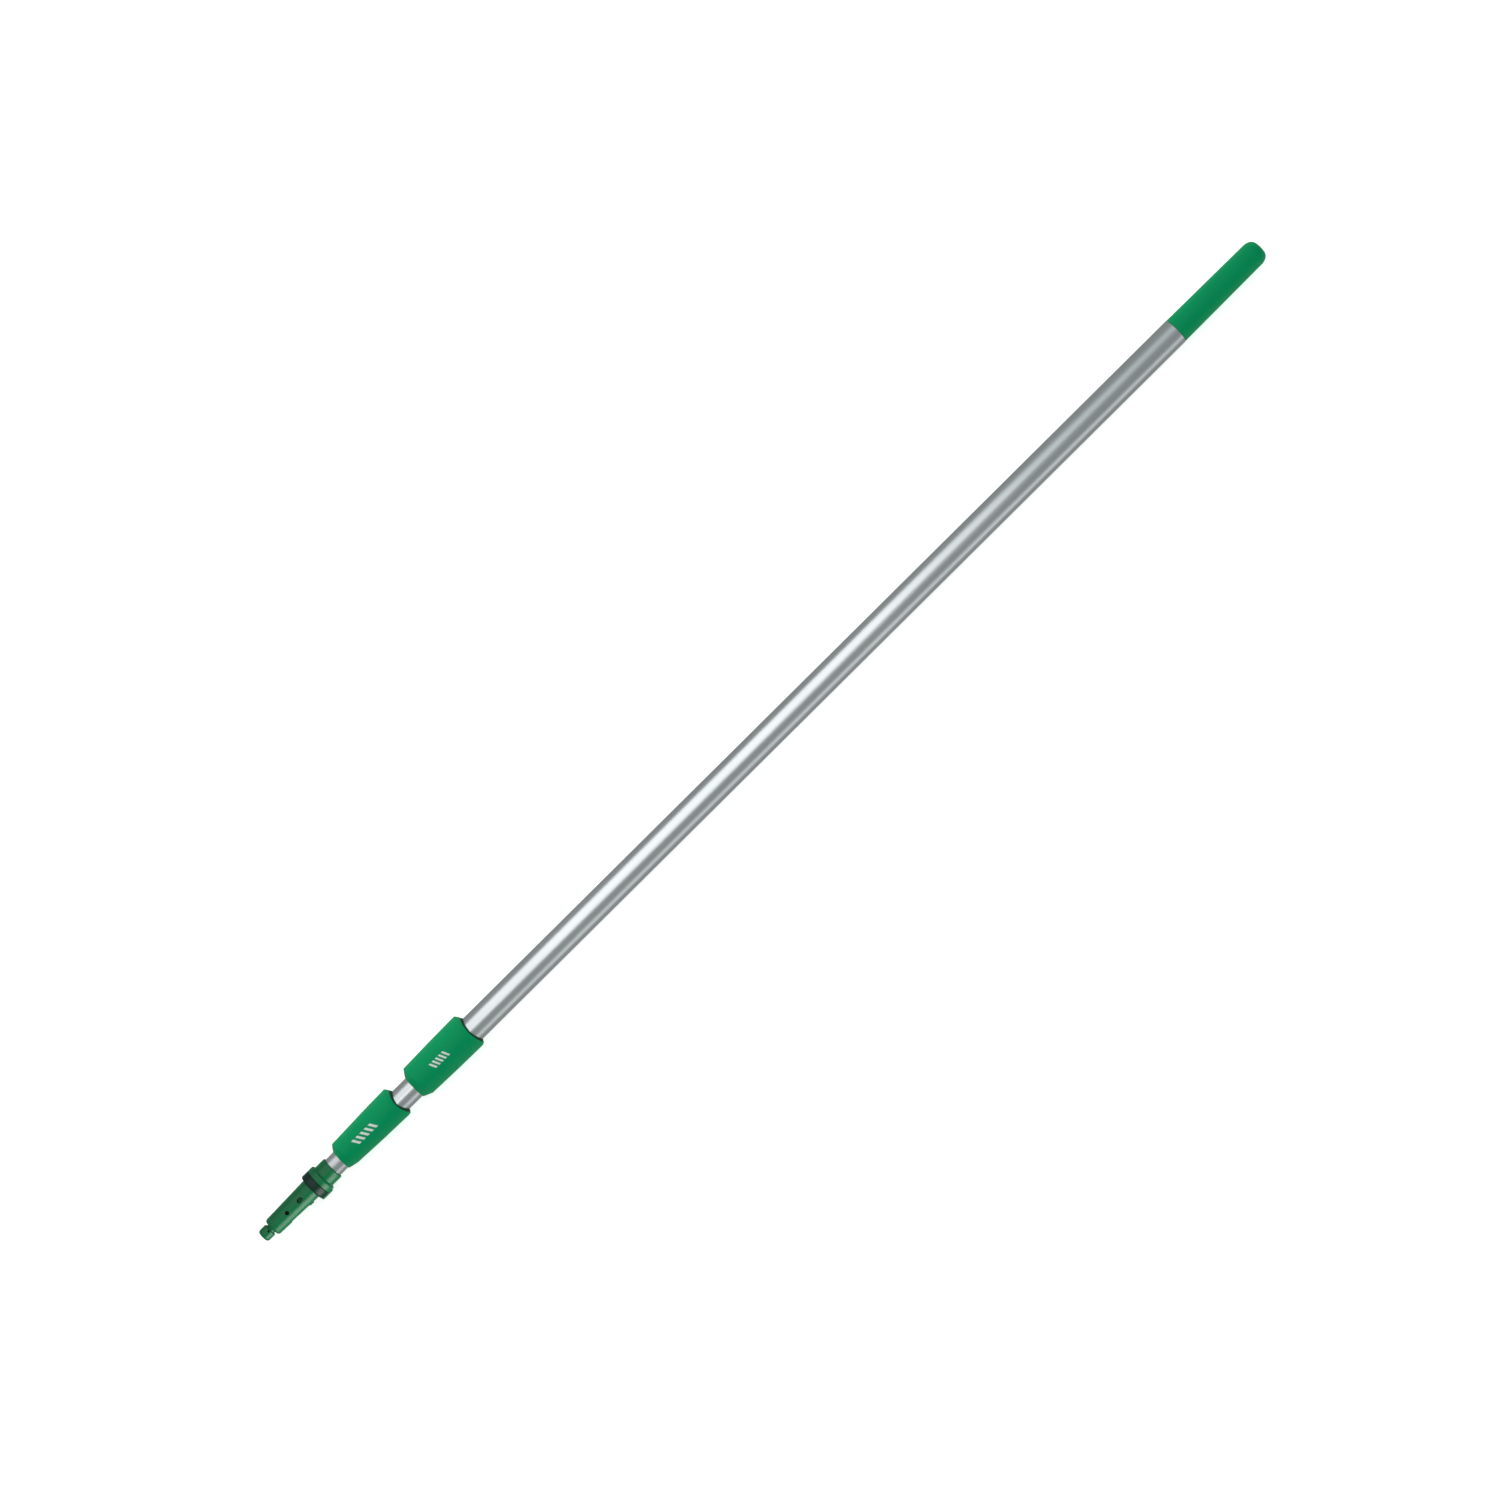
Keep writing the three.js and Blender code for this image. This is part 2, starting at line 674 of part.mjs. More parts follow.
// The tapered plug a tool fits over, with its spigot inside the ring, the rim and the inner tube.
function coneBody() {
  const spigotEnd = CONE_LENGTH + SPIGOT_LENGTH;
  const edgeR = CONE_FRONT_R - CONE_EDGE;
  const outline = [
    [0, 0],
    ...quarter([0, edgeR], [0, CONE_FRONT_R], [CONE_EDGE, CONE_FRONT_R]),
    [CONE_LENGTH, CONE_REAR_R],
    [CONE_LENGTH + RING_RECESS, CONE_REAR_R],
    [CONE_LENGTH + RING_RECESS, spigotR],
    [spigotEnd, spigotR],
    [spigotEnd, SPIGOT_BORE_R],
    [spigotEnd - SPIGOT_BORE_DEPTH, SPIGOT_BORE_R],
    [spigotEnd - SPIGOT_BORE_DEPTH, 0],
  ];
  const slotEnd = latchSlotEnd - coneStart;
  const slotHalf = LEVER_HALF_WIDTH + SLIDE_GAP;
  const eyeRoom = LEVER_EYE_R + EYE_ROOM;
  const armFloor = -(LEVER_ARM_TOP - LEVER_ARM_THICKNESS - BUTTON_TRAVEL - ARM_ROOM);
  const springX = springPlace() - coneStart;
  const deep = -2 * CONE_REAR_R;
  const eyeSlot = [[PIVOT_PLACE - eyeRoom, deep, -slotHalf], [PIVOT_PLACE + eyeRoom, eyeRoom, slotHalf]];
  const armSlot = [[PIVOT_PLACE, deep, -slotHalf], [slotEnd, armFloor, slotHalf]];
  const stemHole = [
    [-1, 0],
    [-1, NOSE_STEM_R + SEAT_GAP],
    [NOSE_STEM_LENGTH + SEAT_GAP, NOSE_STEM_R + SEAT_GAP],
    [NOSE_STEM_LENGTH + SEAT_GAP, 0],
  ];
  const wellR = SPRING_R + SPRING_ROOM;
  const springWell = new THREE.CylinderGeometry(wellR, wellR, SPRING_WELL, SMALL_ROUND);
  springWell.translate(springX, SPRING_SEAT_DEPTH - SPRING_WELL / 2, 0);
  const pinAt = conePinPlace() - coneStart;
  const cone = cut(
    turned(outline),
    turned(stemHole, SMALL_ROUND),
    boxBetween(...eyeSlot),
    boxBetween(...armSlot),
    springWell,
    uprightBar(PIVOT_PIN_R + SEAT_GAP, PIVOT_PLACE, -2 * CONE_REAR_R, 2 * CONE_REAR_R),
    detentPocket(),
    uprightBar(PIN_R + SEAT_GAP, pinAt, -2 * spigotR, -SPIGOT_BORE_R + PIN_THROUGH + SEAT_GAP),
  );
  return piece("cone_body", cone, greenPlastic());
}

// The long blind pocket on top of the cone, which a tool's spring tooth can drop into.
function detentPocket() {
  const half = (POCKET_LENGTH - POCKET_WIDTH) / 2;
  const shape = new THREE.Shape();
  shape.absarc(POCKET_PLACE + half, 0, POCKET_WIDTH / 2, -Math.PI / 2, Math.PI / 2, false);
  shape.absarc(POCKET_PLACE - half, 0, POCKET_WIDTH / 2, Math.PI / 2, 1.5 * Math.PI, false);
  const options = { depth: 2 * POCKET_DEPTH, bevelEnabled: false, curveSegments: SMALL_ROUND / 2 };
  const floor = coneRadius(POCKET_PLACE) - POCKET_DEPTH;
  return new THREE.ExtrudeGeometry(shape, options).translate(0, 0, floor);
}

// The gap in the ring and the rim through which the button comes out.
function buttonGap(from, length) {
  const half = LEVER_HALF_WIDTH + SLIDE_GAP;
  return boxBetween([from, -2 * RING_R, -half], [from + length, 0, half]);
}

// A shallow recess in the ring's front takes the cone's rear.
function stopRing() {
  const bore = spigotR + SEAT_GAP;
  const ring = turnedWall([
    [0, CONE_REAR_R + SEAT_GAP],
    [RING_RECESS, CONE_REAR_R + SEAT_GAP],
    [RING_RECESS, bore],
    [RING_WIDTH, bore],
    [RING_WIDTH, RING_R],
    ...quarter([RING_EDGE, RING_R], [0, RING_R], [0, RING_R - RING_EDGE]),
  ]);
  return piece("stop_ring", cut(ring, buttonGap(-1, RING_WIDTH + 2)), blackRubber());
}

// Rim and pommel in one: it closes the ring's back and holds the tube's mouth round the spigot.
function rimAndPommel() {
  const tubeSeat = latchSlotEnd - rimStart;
  const end = RIM_WIDTH + POMMEL_LENGTH;
  const collar = turnedWall([
    [0, spigotR + SEAT_GAP],
    [tubeSeat, spigotR + SEAT_GAP],
    [tubeSeat, INNER_TUBE_R + SEAT_GAP],
    [end, INNER_TUBE_R + SEAT_GAP],
    ...quarter([end, POMMEL_R - POMMEL_EDGE], [end, POMMEL_R], [end - POMMEL_EDGE, POMMEL_R]),
    [RIM_WIDTH, POMMEL_R],
    ...quarter([RIM_WIDTH, RING_R - RING_EDGE], [RIM_WIDTH, RING_R], [RIM_WIDTH - RING_EDGE, RING_R]),
    [0, RING_R],
  ]);
  const pinAt = conePinPlace() - rimStart;
  const pinHole = uprightBar(PIN_R + SEAT_GAP, pinAt, -2 * POMMEL_R, 0);
  const gap = buttonGap(-1, 1 + BUTTON_INTO_RIM + SLIDE_GAP + buttonSwing());
  return piece("rim_and_pommel", cut(collar, gap, pinHole), greenPlastic());
}

function conePin() {
  const high = -SPIGOT_BORE_R + PIN_THROUGH;
  const low = -POMMEL_R + PIN_RECESS;
  return piece("cone_pin", uprightBar(PIN_R, conePinPlace(), low, high), brightSteel());
}

function springPlace() {
  return (ringStart + buttonEnd()) / 2;
}

function buttonEnd() {
  return rimStart + BUTTON_INTO_RIM;
}

// How far back the button's top swings when it is pressed: it turns about the pivot pin.
function buttonSwing() {
  return ((RING_R + BUTTON_PROUD) * BUTTON_TRAVEL) / (springPlace() - latchPivot);
}

// A flat lever on the pivot pin. It reaches back under the ring, where the button rests on it.
function latchLever() {
  const top = -LEVER_ARM_TOP;
  const bottom = top + LEVER_ARM_THICKNESS;
  const nibStart = nibEnd - NIB_LENGTH;
  const nibTop = -(coneRadius(PIVOT_PLACE + nibStart) + NIB_PROUD);
  const shape = new THREE.Shape();
  shape.absarc(0, 0, LEVER_EYE_R, LEVER_EYE_FROM, LEVER_EYE_TO, false);
  shape.lineTo(LEVER_EYE_R, top);
  shape.lineTo(nibStart, top);
  shape.lineTo(nibStart + NIB_LENGTH / 2, nibTop);
  shape.lineTo(nibEnd, nibTop);
  shape.lineTo(nibEnd, top);
  shape.lineTo(leverEnd, top);
  shape.lineTo(leverEnd, bottom);
  shape.lineTo(LEVER_EYE_R + LEVER_EYE_CLEAR, bottom);
  shape.closePath();
  const hole = new THREE.Path();
  hole.absarc(0, 0, PIVOT_PIN_R + SLIDE_GAP, 0, 2 * Math.PI, true);
  shape.holes.push(hole);
  const options = { depth: 2 * LEVER_HALF_WIDTH, bevelEnabled: false, curveSegments: SMALL_ROUND };
  const lever = new THREE.ExtrudeGeometry(shape, options).translate(latchPivot, 0, -LEVER_HALF_WIDTH);
  return piece("latch_lever", closed(lever), darkGreenPlastic());
}

// The button stands on the lever's tail and comes out through the gap in the ring and the rim.
function latchButton() {
  const from = ringStart + SLIDE_GAP;
  const length = buttonEnd() - from;
  const low = LEVER_ARM_TOP + SEAT_GAP;
  const high = RING_R + BUTTON_PROUD;
  const half = LEVER_HALF_WIDTH;
  const shape = new THREE.Shape();
  shape.moveTo(0, low);
  shape.lineTo(length, low);
  shape.lineTo(length, high - BUTTON_EDGE);
  shape.quadraticCurveTo(length, high, length - BUTTON_EDGE, high);
  shape.lineTo(BUTTON_EDGE, high);
  shape.quadraticCurveTo(0, high, 0, high - BUTTON_EDGE);
  shape.closePath();
  const options = { depth: 2 * half, bevelEnabled: false, curveSegments: EDGE_STEPS };
  const button = new THREE.ExtrudeGeometry(shape, options);
  button.rotateX(Math.PI).translate(from, 0, half);
  return piece("latch_button", closed(button), greenPlastic());
}

function latchPivotPin() {
  const reach = coneRadius(PIVOT_PLACE) - PIVOT_PIN_RECESS;
  return piece("latch_pivot_pin", uprightBar(PIVOT_PIN_R, latchPivot, -reach, reach), brightSteel());
}

class Coil extends THREE.Curve {
  constructor(radius, length, turns) {
    super();
    this.radius = radius;
    this.length = length;
    this.turns = turns;
  }

  getPoint(share, target = new THREE.Vector3()) {
    const angle = share * this.turns * 2 * Math.PI;
    const [s, c] = [Math.sin(angle), Math.cos(angle)];
    return target.set(this.radius * c, share * this.length, this.radius * s);
  }
}

function latchSpring() {
  const low = -(LEVER_ARM_TOP - LEVER_ARM_THICKNESS) + SEAT_GAP + SPRING_WIRE_R;
  const high = SPRING_SEAT_DEPTH - SEAT_GAP - SPRING_WIRE_R;
  const section = new THREE.Shape();
  section.absarc(0, 0, SPRING_WIRE_R, 0, 2 * Math.PI, false);
  const extrudePath = new Coil(SPRING_R, high - low, SPRING_TURNS);
  const steps = SPRING_TURNS * COIL_STEPS;
  const options = { steps, extrudePath, curveSegments: SMALL_ROUND / 2, bevelEnabled: false };
  const spring = new THREE.ExtrudeGeometry(section, options).translate(springPlace(), low, 0);
  return piece("latch_spring", closed(spring), brightSteel());
}

// ---- hand grip ----

function gripDome() {
  const points = [];
  for (let i = 0; i < DOME_STEPS; i += 1) {
    const angle = (i / DOME_STEPS) * (Math.PI / 2);
    const x = GRIP_LENGTH - GRIP_DOME + GRIP_DOME * Math.sin(angle);
    points.push([x, GRIP_REAR_R * Math.sqrt(Math.cos(angle))]);
  }
  points.push([GRIP_LENGTH, 0]);
  return points;
}

// A moulded cup that continues the tube's outside, with a spigot pushed into the tube.
function handGrip() {
  const spigot = outerBoreR - SEAT_GAP;
  const bore = spigot - GRIP_WALL;
  const front = -GRIP_SPIGOT - END_GAP;
  const floor = GRIP_LENGTH - GRIP_DOME;
  const outline = [
    [floor, 0],
    [floor, bore],
    [front, bore],
    [front, spigot],
    [0, spigot],
    [0, GRIP_FRONT_R],
    ...gripDome(),
  ];
  const pinAt = -END_GAP - GRIP_PIN_PLACE;
  const pinHole = uprightBar(PIN_R + SEAT_GAP, pinAt, -2 * spigot, 0);
  return piece("hand_grip", cut(turned(outline), pinHole), greenPlastic());
}

function gripPin() {
  const low = -OUTER_TUBE_R + PIN_RECESS;
  const high = -(outerBoreR - SEAT_GAP - GRIP_WALL + PIN_SHORT);
  return piece("grip_pin", uprightBar(PIN_R, outerTubeEnd - GRIP_PIN_PLACE, low, high), brightSteel());
}

// ---- the whole pole ----

function innerSection() {
  return groupAt(
    0,
    groupAt(innerTubeStart, innerTube()),
    groupAt(innerTubeEnd - BUSH_PLUG, rearBush("inner_rear_bush", INNER_TUBE_R, middleBoreR)),
    groupAt(innerTubeEnd - BUSH_PLUG, bushPin("inner_bush_pin", INNER_TUBE_R)),
    noseKnob(),
    groupAt(coneStart, coneBody()),
    groupAt(ringStart, stopRing()),
    groupAt(rimStart, rimAndPommel()),
    conePin(),
    latchLever(),
    latchButton(),
    latchPivotPin(),
    latchSpring(),
  );
}

function middleSection() {
  return groupAt(
    0,
    groupAt(middleTubeStart, middleTube()),
    groupAt(middleTubeEnd - BUSH_PLUG, rearBush("middle_rear_bush", MIDDLE_TUBE_R, outerBoreR)),
    groupAt(middleTubeEnd - BUSH_PLUG, bushPin("middle_bush_pin", MIDDLE_TUBE_R)),
    clamp("front_clamp", frontClamp),
  );
}

function outerSection() {
  return groupAt(
    0,
    groupAt(outerTubeStart, outerTube()),
    groupAt(gripStart, handGrip()),
    gripPin(),
    clamp("rear_clamp", rearClamp),
  );
}

const pole = groupAt(-POLE_LENGTH / 2, innerSection(), middleSection(), outerSection());
pole.position.y = -SLEEVE_ASIDE;
pole.position.z = axisHeight;

export default pole;
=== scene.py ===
import math

import bmesh
import bpy
import numpy as np
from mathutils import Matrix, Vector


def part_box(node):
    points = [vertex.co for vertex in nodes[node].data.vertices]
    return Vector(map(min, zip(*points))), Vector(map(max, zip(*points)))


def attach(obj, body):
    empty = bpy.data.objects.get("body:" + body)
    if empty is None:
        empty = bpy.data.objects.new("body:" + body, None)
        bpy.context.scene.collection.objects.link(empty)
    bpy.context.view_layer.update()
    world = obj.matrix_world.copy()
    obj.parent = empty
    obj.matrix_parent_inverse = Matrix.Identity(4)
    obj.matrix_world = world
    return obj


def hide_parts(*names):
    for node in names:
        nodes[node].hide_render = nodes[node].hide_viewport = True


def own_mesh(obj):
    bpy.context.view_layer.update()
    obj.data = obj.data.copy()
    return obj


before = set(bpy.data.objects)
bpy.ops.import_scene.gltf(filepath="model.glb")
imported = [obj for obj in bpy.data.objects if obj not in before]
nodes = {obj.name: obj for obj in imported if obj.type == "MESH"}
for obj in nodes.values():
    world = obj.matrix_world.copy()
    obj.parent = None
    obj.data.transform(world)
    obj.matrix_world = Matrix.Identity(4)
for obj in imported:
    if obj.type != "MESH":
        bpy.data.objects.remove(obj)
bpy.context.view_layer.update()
MM = 0.001


# ---- Studio: camera, backdrop and lights ----
# The pole lies on a translucent white table lit from below, seen from straight above and turned
# so that the cone points to the lower left. A long softbox to the sleeves' side and a narrow
# one across from it give the tubes their bright and dark bands.

VIEW_HEIGHT = 5.2
VIEW_WIDTH = 1.6605
VIEW_TURN = math.radians(-44.78)
VIEW_CENTRE = (-0.01515, 0.0010)
SENSOR = 36.0

axis_low, axis_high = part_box("outer_tube")
AXIS_Y = (axis_low[1] + axis_high[1]) / 2
AXIS_Z = (axis_low[2] + axis_high[2]) / 2


def linear(hex_colour):
    """An sRGB hex colour as linear RGBA: each channel is undone from its sRGB curve."""
    channels = [int(hex_colour[i : i + 2], 16) / 255 for i in (1, 3, 5)]
    return [c / 12.92 if c <= 0.04045 else ((c + 0.055) / 1.055) ** 2.4 for c in channels] + [1.0]


def add_node(tree, kind, settings=None, **inputs):
    """Adds a node. settings are its own properties. inputs are values or sockets by the input's
    name, or by its number as i0, i6 or i7 where names repeat."""
    made = tree.nodes.new(kind)
    for name, value in (settings or {}).items():
        setattr(made, name, value)
    for name, value in inputs.items():
        socket = made.inputs[int(name[1:])] if name[0] == "i" and name[1:].isdigit() else None
        if socket is None:
            socket = made.inputs[name.replace("_", " ")]
        if isinstance(value, bpy.types.NodeSocket):
            tree.links.new(value, socket)
        else:
            socket.default_value = value
    return made


def new_material(name):
    """An empty node material with its output and surface shader."""
    material = bpy.data.materials.new(name)
    material.use_nodes = True
    tree = material.node_tree
    tree.nodes.clear()
    shader = add_node(tree, "ShaderNodeBsdfPrincipled")
    output = add_node(tree, "ShaderNodeOutputMaterial")
    tree.links.new(shader.outputs["BSDF"], output.inputs["Surface"])
    return material, tree, shader


def link_object(name, data):
    made = bpy.data.objects.new(name, data)
    bpy.context.scene.collection.objects.link(made)
    return made


lens = bpy.data.cameras.new("camera")
lens.sensor_width = SENSOR
lens.lens = SENSOR * VIEW_HEIGHT / VIEW_WIDTH
lens.clip_end = 50
camera = link_object("camera", lens)
camera.location = (*VIEW_CENTRE, AXIS_Z + VIEW_HEIGHT)
camera.rotation_euler = (0, 0, VIEW_TURN)
bpy.context.scene.camera = camera

FLOOR_HALF = 8.0
floor_mesh = bpy.data.meshes.new("floor")
floor_mesh.from_pydata(
    [(x * FLOOR_HALF, y * FLOOR_HALF, 0) for x, y in ((-1, -1), (1, -1), (1, 1), (-1, 1))],
    [],
    [(0, 1, 2, 3)],
)
floor = link_object("floor", floor_mesh)
acrylic, tree, shader = new_material("translucent_white_acrylic")
shader.inputs["Base Color"].default_value = linear("#F4F4F3")
shader.inputs["Roughness"].default_value = 0.9
shader.inputs["Specular IOR Level"].default_value = 0.1
shader.inputs["Emission Color"].default_value = linear("#FFFFFF")
shader.inputs["Emission Strength"].default_value = 0.66
floor_mesh.materials.append(acrylic)
floor.visible_glossy = False


def softbox(name, angle, distance, x_range, width, radiance, colour="#FFFFFF"):
    """A rectangular light along X. angle is from straight up towards +Y, in degrees, as seen
    from the tubes; it faces them from that side. Its power follows from the radiance wanted."""
    light = bpy.data.lights.new(name, "AREA")
    light.shape = "RECTANGLE"
    light.size = x_range[1] - x_range[0]
    light.size_y = width
    light.color = linear(colour)[:3]
    light.energy = radiance * math.pi * light.size * light.size_y
    made = link_object(name, light)
    turn = math.radians(angle)
    made.location = (
        sum(x_range) / 2,
        AXIS_Y + distance * math.sin(turn),
        AXIS_Z + distance * math.cos(turn),
    )
    made.rotation_euler = (-turn, 0, 0)
    made.visible_camera = False
    return made


softbox("key_softbox", angle=34, distance=2.2, x_range=(-1.5, 0.72), width=3.2, radiance=1.36)
softbox(
    "grip_softbox", angle=31, distance=2.2, x_range=(0.72, 1.9), width=1.7, radiance=0.42,
    colour="#E6EEF2",
)
softbox("side_strip", angle=-78, distance=2.0, x_range=(-1.6, 1.6), width=1.1, radiance=0.62)

world = bpy.data.worlds.new("studio")
world.use_nodes = True
background = world.node_tree.nodes["Background"]
background.inputs["Color"].default_value = linear("#B4B9B7")
background.inputs["Strength"].default_value = 0.74
bpy.context.scene.world = world
bpy.context.scene.view_settings.view_transform = "Standard"


# ---- Tubes ----
# Three drawn aluminium tubes, clear anodised. Drawing leaves faint lines along the tube, and
# sliding rubs brighter lines into the two that run in the clamps. The two thinner ones have a
# rolled bead near the tail that stops them in the clamp.

TUBE_WALL = 1.2 * MM
BEAD_FROM_TAIL = 90 * MM
BEAD_LENGTH = 4 * MM
BEAD_RAMP = 2 * MM
BEAD_EDGE = 0.4 * MM
TUBE_EDGE = 0.25 * MM
PIN_HOLE_R = 1.8 * MM
FINE = 160
ALUMINIUM = "#D3D6D8"
ALUMINIUM_DULL = "#C2C7C9"
DRAW_LINE_SPACING = 0.35 * MM


def rounded(corners, steps=5):
    """An outline through corners (x, r, fillet), with each corner that has a fillet replaced by
    an arc tangent to both of its sides. Returns an array of (x, r)."""
    count = len(corners)
    out = []
    for i, (x, r, fillet) in enumerate(corners):
        here = np.array((x, r))
        before = np.array(corners[i - 1][:2])
        after = np.array(corners[(i + 1) % count][:2])
        if fillet <= 0:
            out.append(here)
            continue
        a = (before - here) / np.linalg.norm(before - here)
        b = (after - here) / np.linalg.norm(after - here)
        half = math.acos(float(np.clip(a @ b, -1, 1))) / 2
        reach = fillet / math.tan(half)
        middle = here + (a + b) / np.linalg.norm(a + b) * fillet / math.sin(half)
        start, end = here + a * reach - middle, here + b * reach - middle
        turn = math.pi - 2 * half
        for share in np.linspace(0, 1, steps + 1):
            mix = math.sin((1 - share) * turn) * start + math.sin(share * turn) * end
            out.append(middle + mix / math.sin(turn))
    return np.array(out)


def surface(name, points, loop, smooth_to=35):
    """A mesh over a grid of points [along, around, xyz]. It closes around, and along too if loop
    is true; rows that shrink to a point on the axis become one vertex."""
    rows, columns = points.shape[:2]
    last = rows if loop else rows - 1
    i, j = np.meshgrid(np.arange(last), np.arange(columns), indexing="ij")
    below, beside = (i + 1) % rows, (j + 1) % columns
    quads = np.stack(
        [i * columns + j, i * columns + beside, below * columns + beside, below * columns + j],
        axis=-1,
    ).reshape(-1, 4)
    mesh = bpy.data.meshes.new(name)
    mesh.from_pydata(points.reshape(-1, 3), [], quads.tolist())
    tidy = bmesh.new()
    tidy.from_mesh(mesh)
    bmesh.ops.remove_doubles(tidy, verts=tidy.verts, dist=2e-6)
    bmesh.ops.recalc_face_normals(tidy, faces=tidy.faces)
    tidy.to_mesh(mesh)
    tidy.free()
    mesh.shade_smooth()
    mesh.set_sharp_from_angle(angle=math.radians(smooth_to))
    return link_object(name, mesh)


def around_axis(outline, columns=FINE):
    """Points of a surface of revolution about the tubes' axis: each (x, r) becomes a circle
    (x, r cos t, r sin t)."""
    t = np.linspace(0, 2 * math.pi, columns, endpoint=False)
    x, r = outline[:, :1], outline[:, 1:]
    return np.stack(
        [x + 0 * t, AXIS_Y + r * np.cos(t), AXIS_Z + r * np.sin(t)],
        axis=-1,
    )


def turned(name, outline, wall=True, columns=FINE):
    """A turned piece. The outline runs round a wall and closes, or goes from axis to axis."""
    return surface(name, around_axis(outline, columns), loop=wall)


def bar_along_z(radius, x, low, high, columns=24):
    """A plain round bar along Z through the tubes' axis, used to cut holes."""
    t = np.linspace(0, 2 * math.pi, columns, endpoint=False)
    ring = [(0, low), (radius, low), (radius, high), (0, high)]
    points = np.array(
        [
            np.stack([x + r * np.cos(t), AXIS_Y + r * np.sin(t), AXIS_Z + z + 0 * t], axis=-1)
            for r, z in ring
        ]
    )
    return surface("cutter", points, loop=False)


def cut_away(piece, *cutters, smooth_to=35):
    """Takes the cutters out of a piece, one after another, and removes them."""
    for cutter in cutters:
        modifier = piece.modifiers.new("cut", "BOOLEAN")
        modifier.object = cutter
        modifier.operation = "DIFFERENCE"
        modifier.solver = "EXACT"
        view = bpy.context.evaluated_depsgraph_get()
        whole = bpy.data.meshes.new_from_object(piece.evaluated_get(view))
        piece.modifiers.clear()
        piece.data = whole
        bpy.data.objects.remove(cutter)
    piece.data.shade_smooth()
    piece.data.set_sharp_from_angle(angle=math.radians(smooth_to))
    return piece


def fit(piece, node, material, body):
    """Gives a finished piece its material, lets it stand for its CAD node and ride on its body."""
    piece.data.materials.clear()
    piece.data.materials.append(material)
    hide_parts(node)
    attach(piece, body)
    return piece


def anodised_aluminium(name, rub):
    """Drawn and clear anodised aluminium: silky, with lines along X. rub is how much the sliding
    lines show, from 0 to 1."""
    material, tree, shader = new_material(name)
    place = add_node(tree, "ShaderNodeTexCoord").outputs["Object"]
    across = 1 / (DRAW_LINE_SPACING * 6)
    stretched = add_node(
        tree, "ShaderNodeMapping", Vector=place, Scale=(0.6, across, across)
    ).outputs["Vector"]
    lines = add_node(
        tree, "ShaderNodeTexNoise", {"noise_dimensions": "3D"}, Vector=stretched, Scale=1.0,
        Detail=3.0, Roughness=0.6,
    ).outputs["Fac"]
    patches = add_node(
        tree, "ShaderNodeTexNoise", None, Vector=place, Scale=9.0, Detail=2.0
    ).outputs["Fac"]
    tone = add_node(
        tree, "ShaderNodeMix", {"data_type": "RGBA"}, i0=patches,
        i6=linear(ALUMINIUM_DULL), i7=linear(ALUMINIUM),
    ).outputs[2]
    roughness = add_node(
        tree, "ShaderNodeMapRange", None, Value=lines, To_Min=0.30, To_Max=0.37 - 0.05 * rub
    ).outputs["Result"]
    bump = add_node(
        tree, "ShaderNodeBump", None, Strength=0.10 + 0.06 * rub, Distance=0.02 * MM, Height=lines
    ).outputs["Normal"]
    tree.links.new(tone, shader.inputs["Base Color"])
    tree.links.new(roughness, shader.inputs["Roughness"])
    tree.links.new(bump, shader.inputs["Normal"])
    shader.inputs["Metallic"].default_value = 1.0
    return material


def tube_outline(low, high, radius, bead_r=None):
    """The outline of a tube's wall between two x places, with softened ends and, if it has one,
    a rolled bead that swells the wall outward near the tail."""
    bore = radius - TUBE_WALL
    inner = [(low, bore, TUBE_EDGE)]
    outer = [(low, radius, TUBE_EDGE)]
    if bead_r:
        start = high - BEAD_FROM_TAIL
        swell = bead_r - radius
        steps = ((-BEAD_RAMP, 0), (0, swell), (BEAD_LENGTH, swell), (BEAD_LENGTH + BEAD_RAMP, 0))
        inner += [(start + dx, bore + up, BEAD_EDGE) for dx, up in steps]
        outer += [(start + dx, radius + up, BEAD_EDGE) for dx, up in steps]
    inner.append((high, bore, TUBE_EDGE))
    outer.append((high, radius, TUBE_EDGE))
    return rounded(inner + outer[::-1], steps=3)


still_aluminium = anodised_aluminium("clear_anodised_aluminium", 0.0)
rubbed_aluminium = anodised_aluminium("clear_anodised_aluminium_rubbed", 1.0)

OUTER_R, MIDDLE_R, INNER_R = 15.75 * MM, 13.65 * MM, 11.9 * MM
BORE_GAP = 0.15 * MM


def make_tube(node, radius, bead_r, holes, material, body):
    """One tube with its pin holes. holes is a list of (x, through): a hole through both walls,
    or through the lower one only."""
    low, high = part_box(node)
    tube = turned(node + "_fine", tube_outline(low[0], high[0], radius, bead_r))
    cutters = [
        bar_along_z(PIN_HOLE_R, x, -2 * radius, 2 * radius if both else 0) for x, both in holes
    ]
    cut_away(tube, *cutters)
    return fit(tube, node, material, body)


def middle_x(node):
    low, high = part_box(node)
    return (low[0] + high[0]) / 2


make_tube(
    "outer_tube", OUTER_R, None,
    [(middle_x("rear_clamp_pin_upper"), True), (middle_x("grip_pin"), False)],
    still_aluminium, "pole_body",
)
make_tube(
    "middle_tube", MIDDLE_R, OUTER_R - TUBE_WALL - BORE_GAP,
    [(middle_x("front_clamp_pin_upper"), True), (middle_x("middle_bush_pin"), False)],
    rubbed_aluminium, "middle_section",
)
make_tube(
    "inner_tube", INNER_R, MIDDLE_R - TUBE_WALL - BORE_GAP,
    [(middle_x("cone_pin"), False), (middle_x("inner_bush_pin"), False)],
    rubbed_aluminium, "inner_section",
)


# ---- Twist sleeves ----
# Injection-moulded green sleeves, one on each clamp. The outside is off centre from the tubes,
# bevelled towards the tip on a slant, and scooped at the tail above and below, with a shallow
# dish for the thumb. Inside, a cam hollow grows deeper round the bore for the brake shoe.

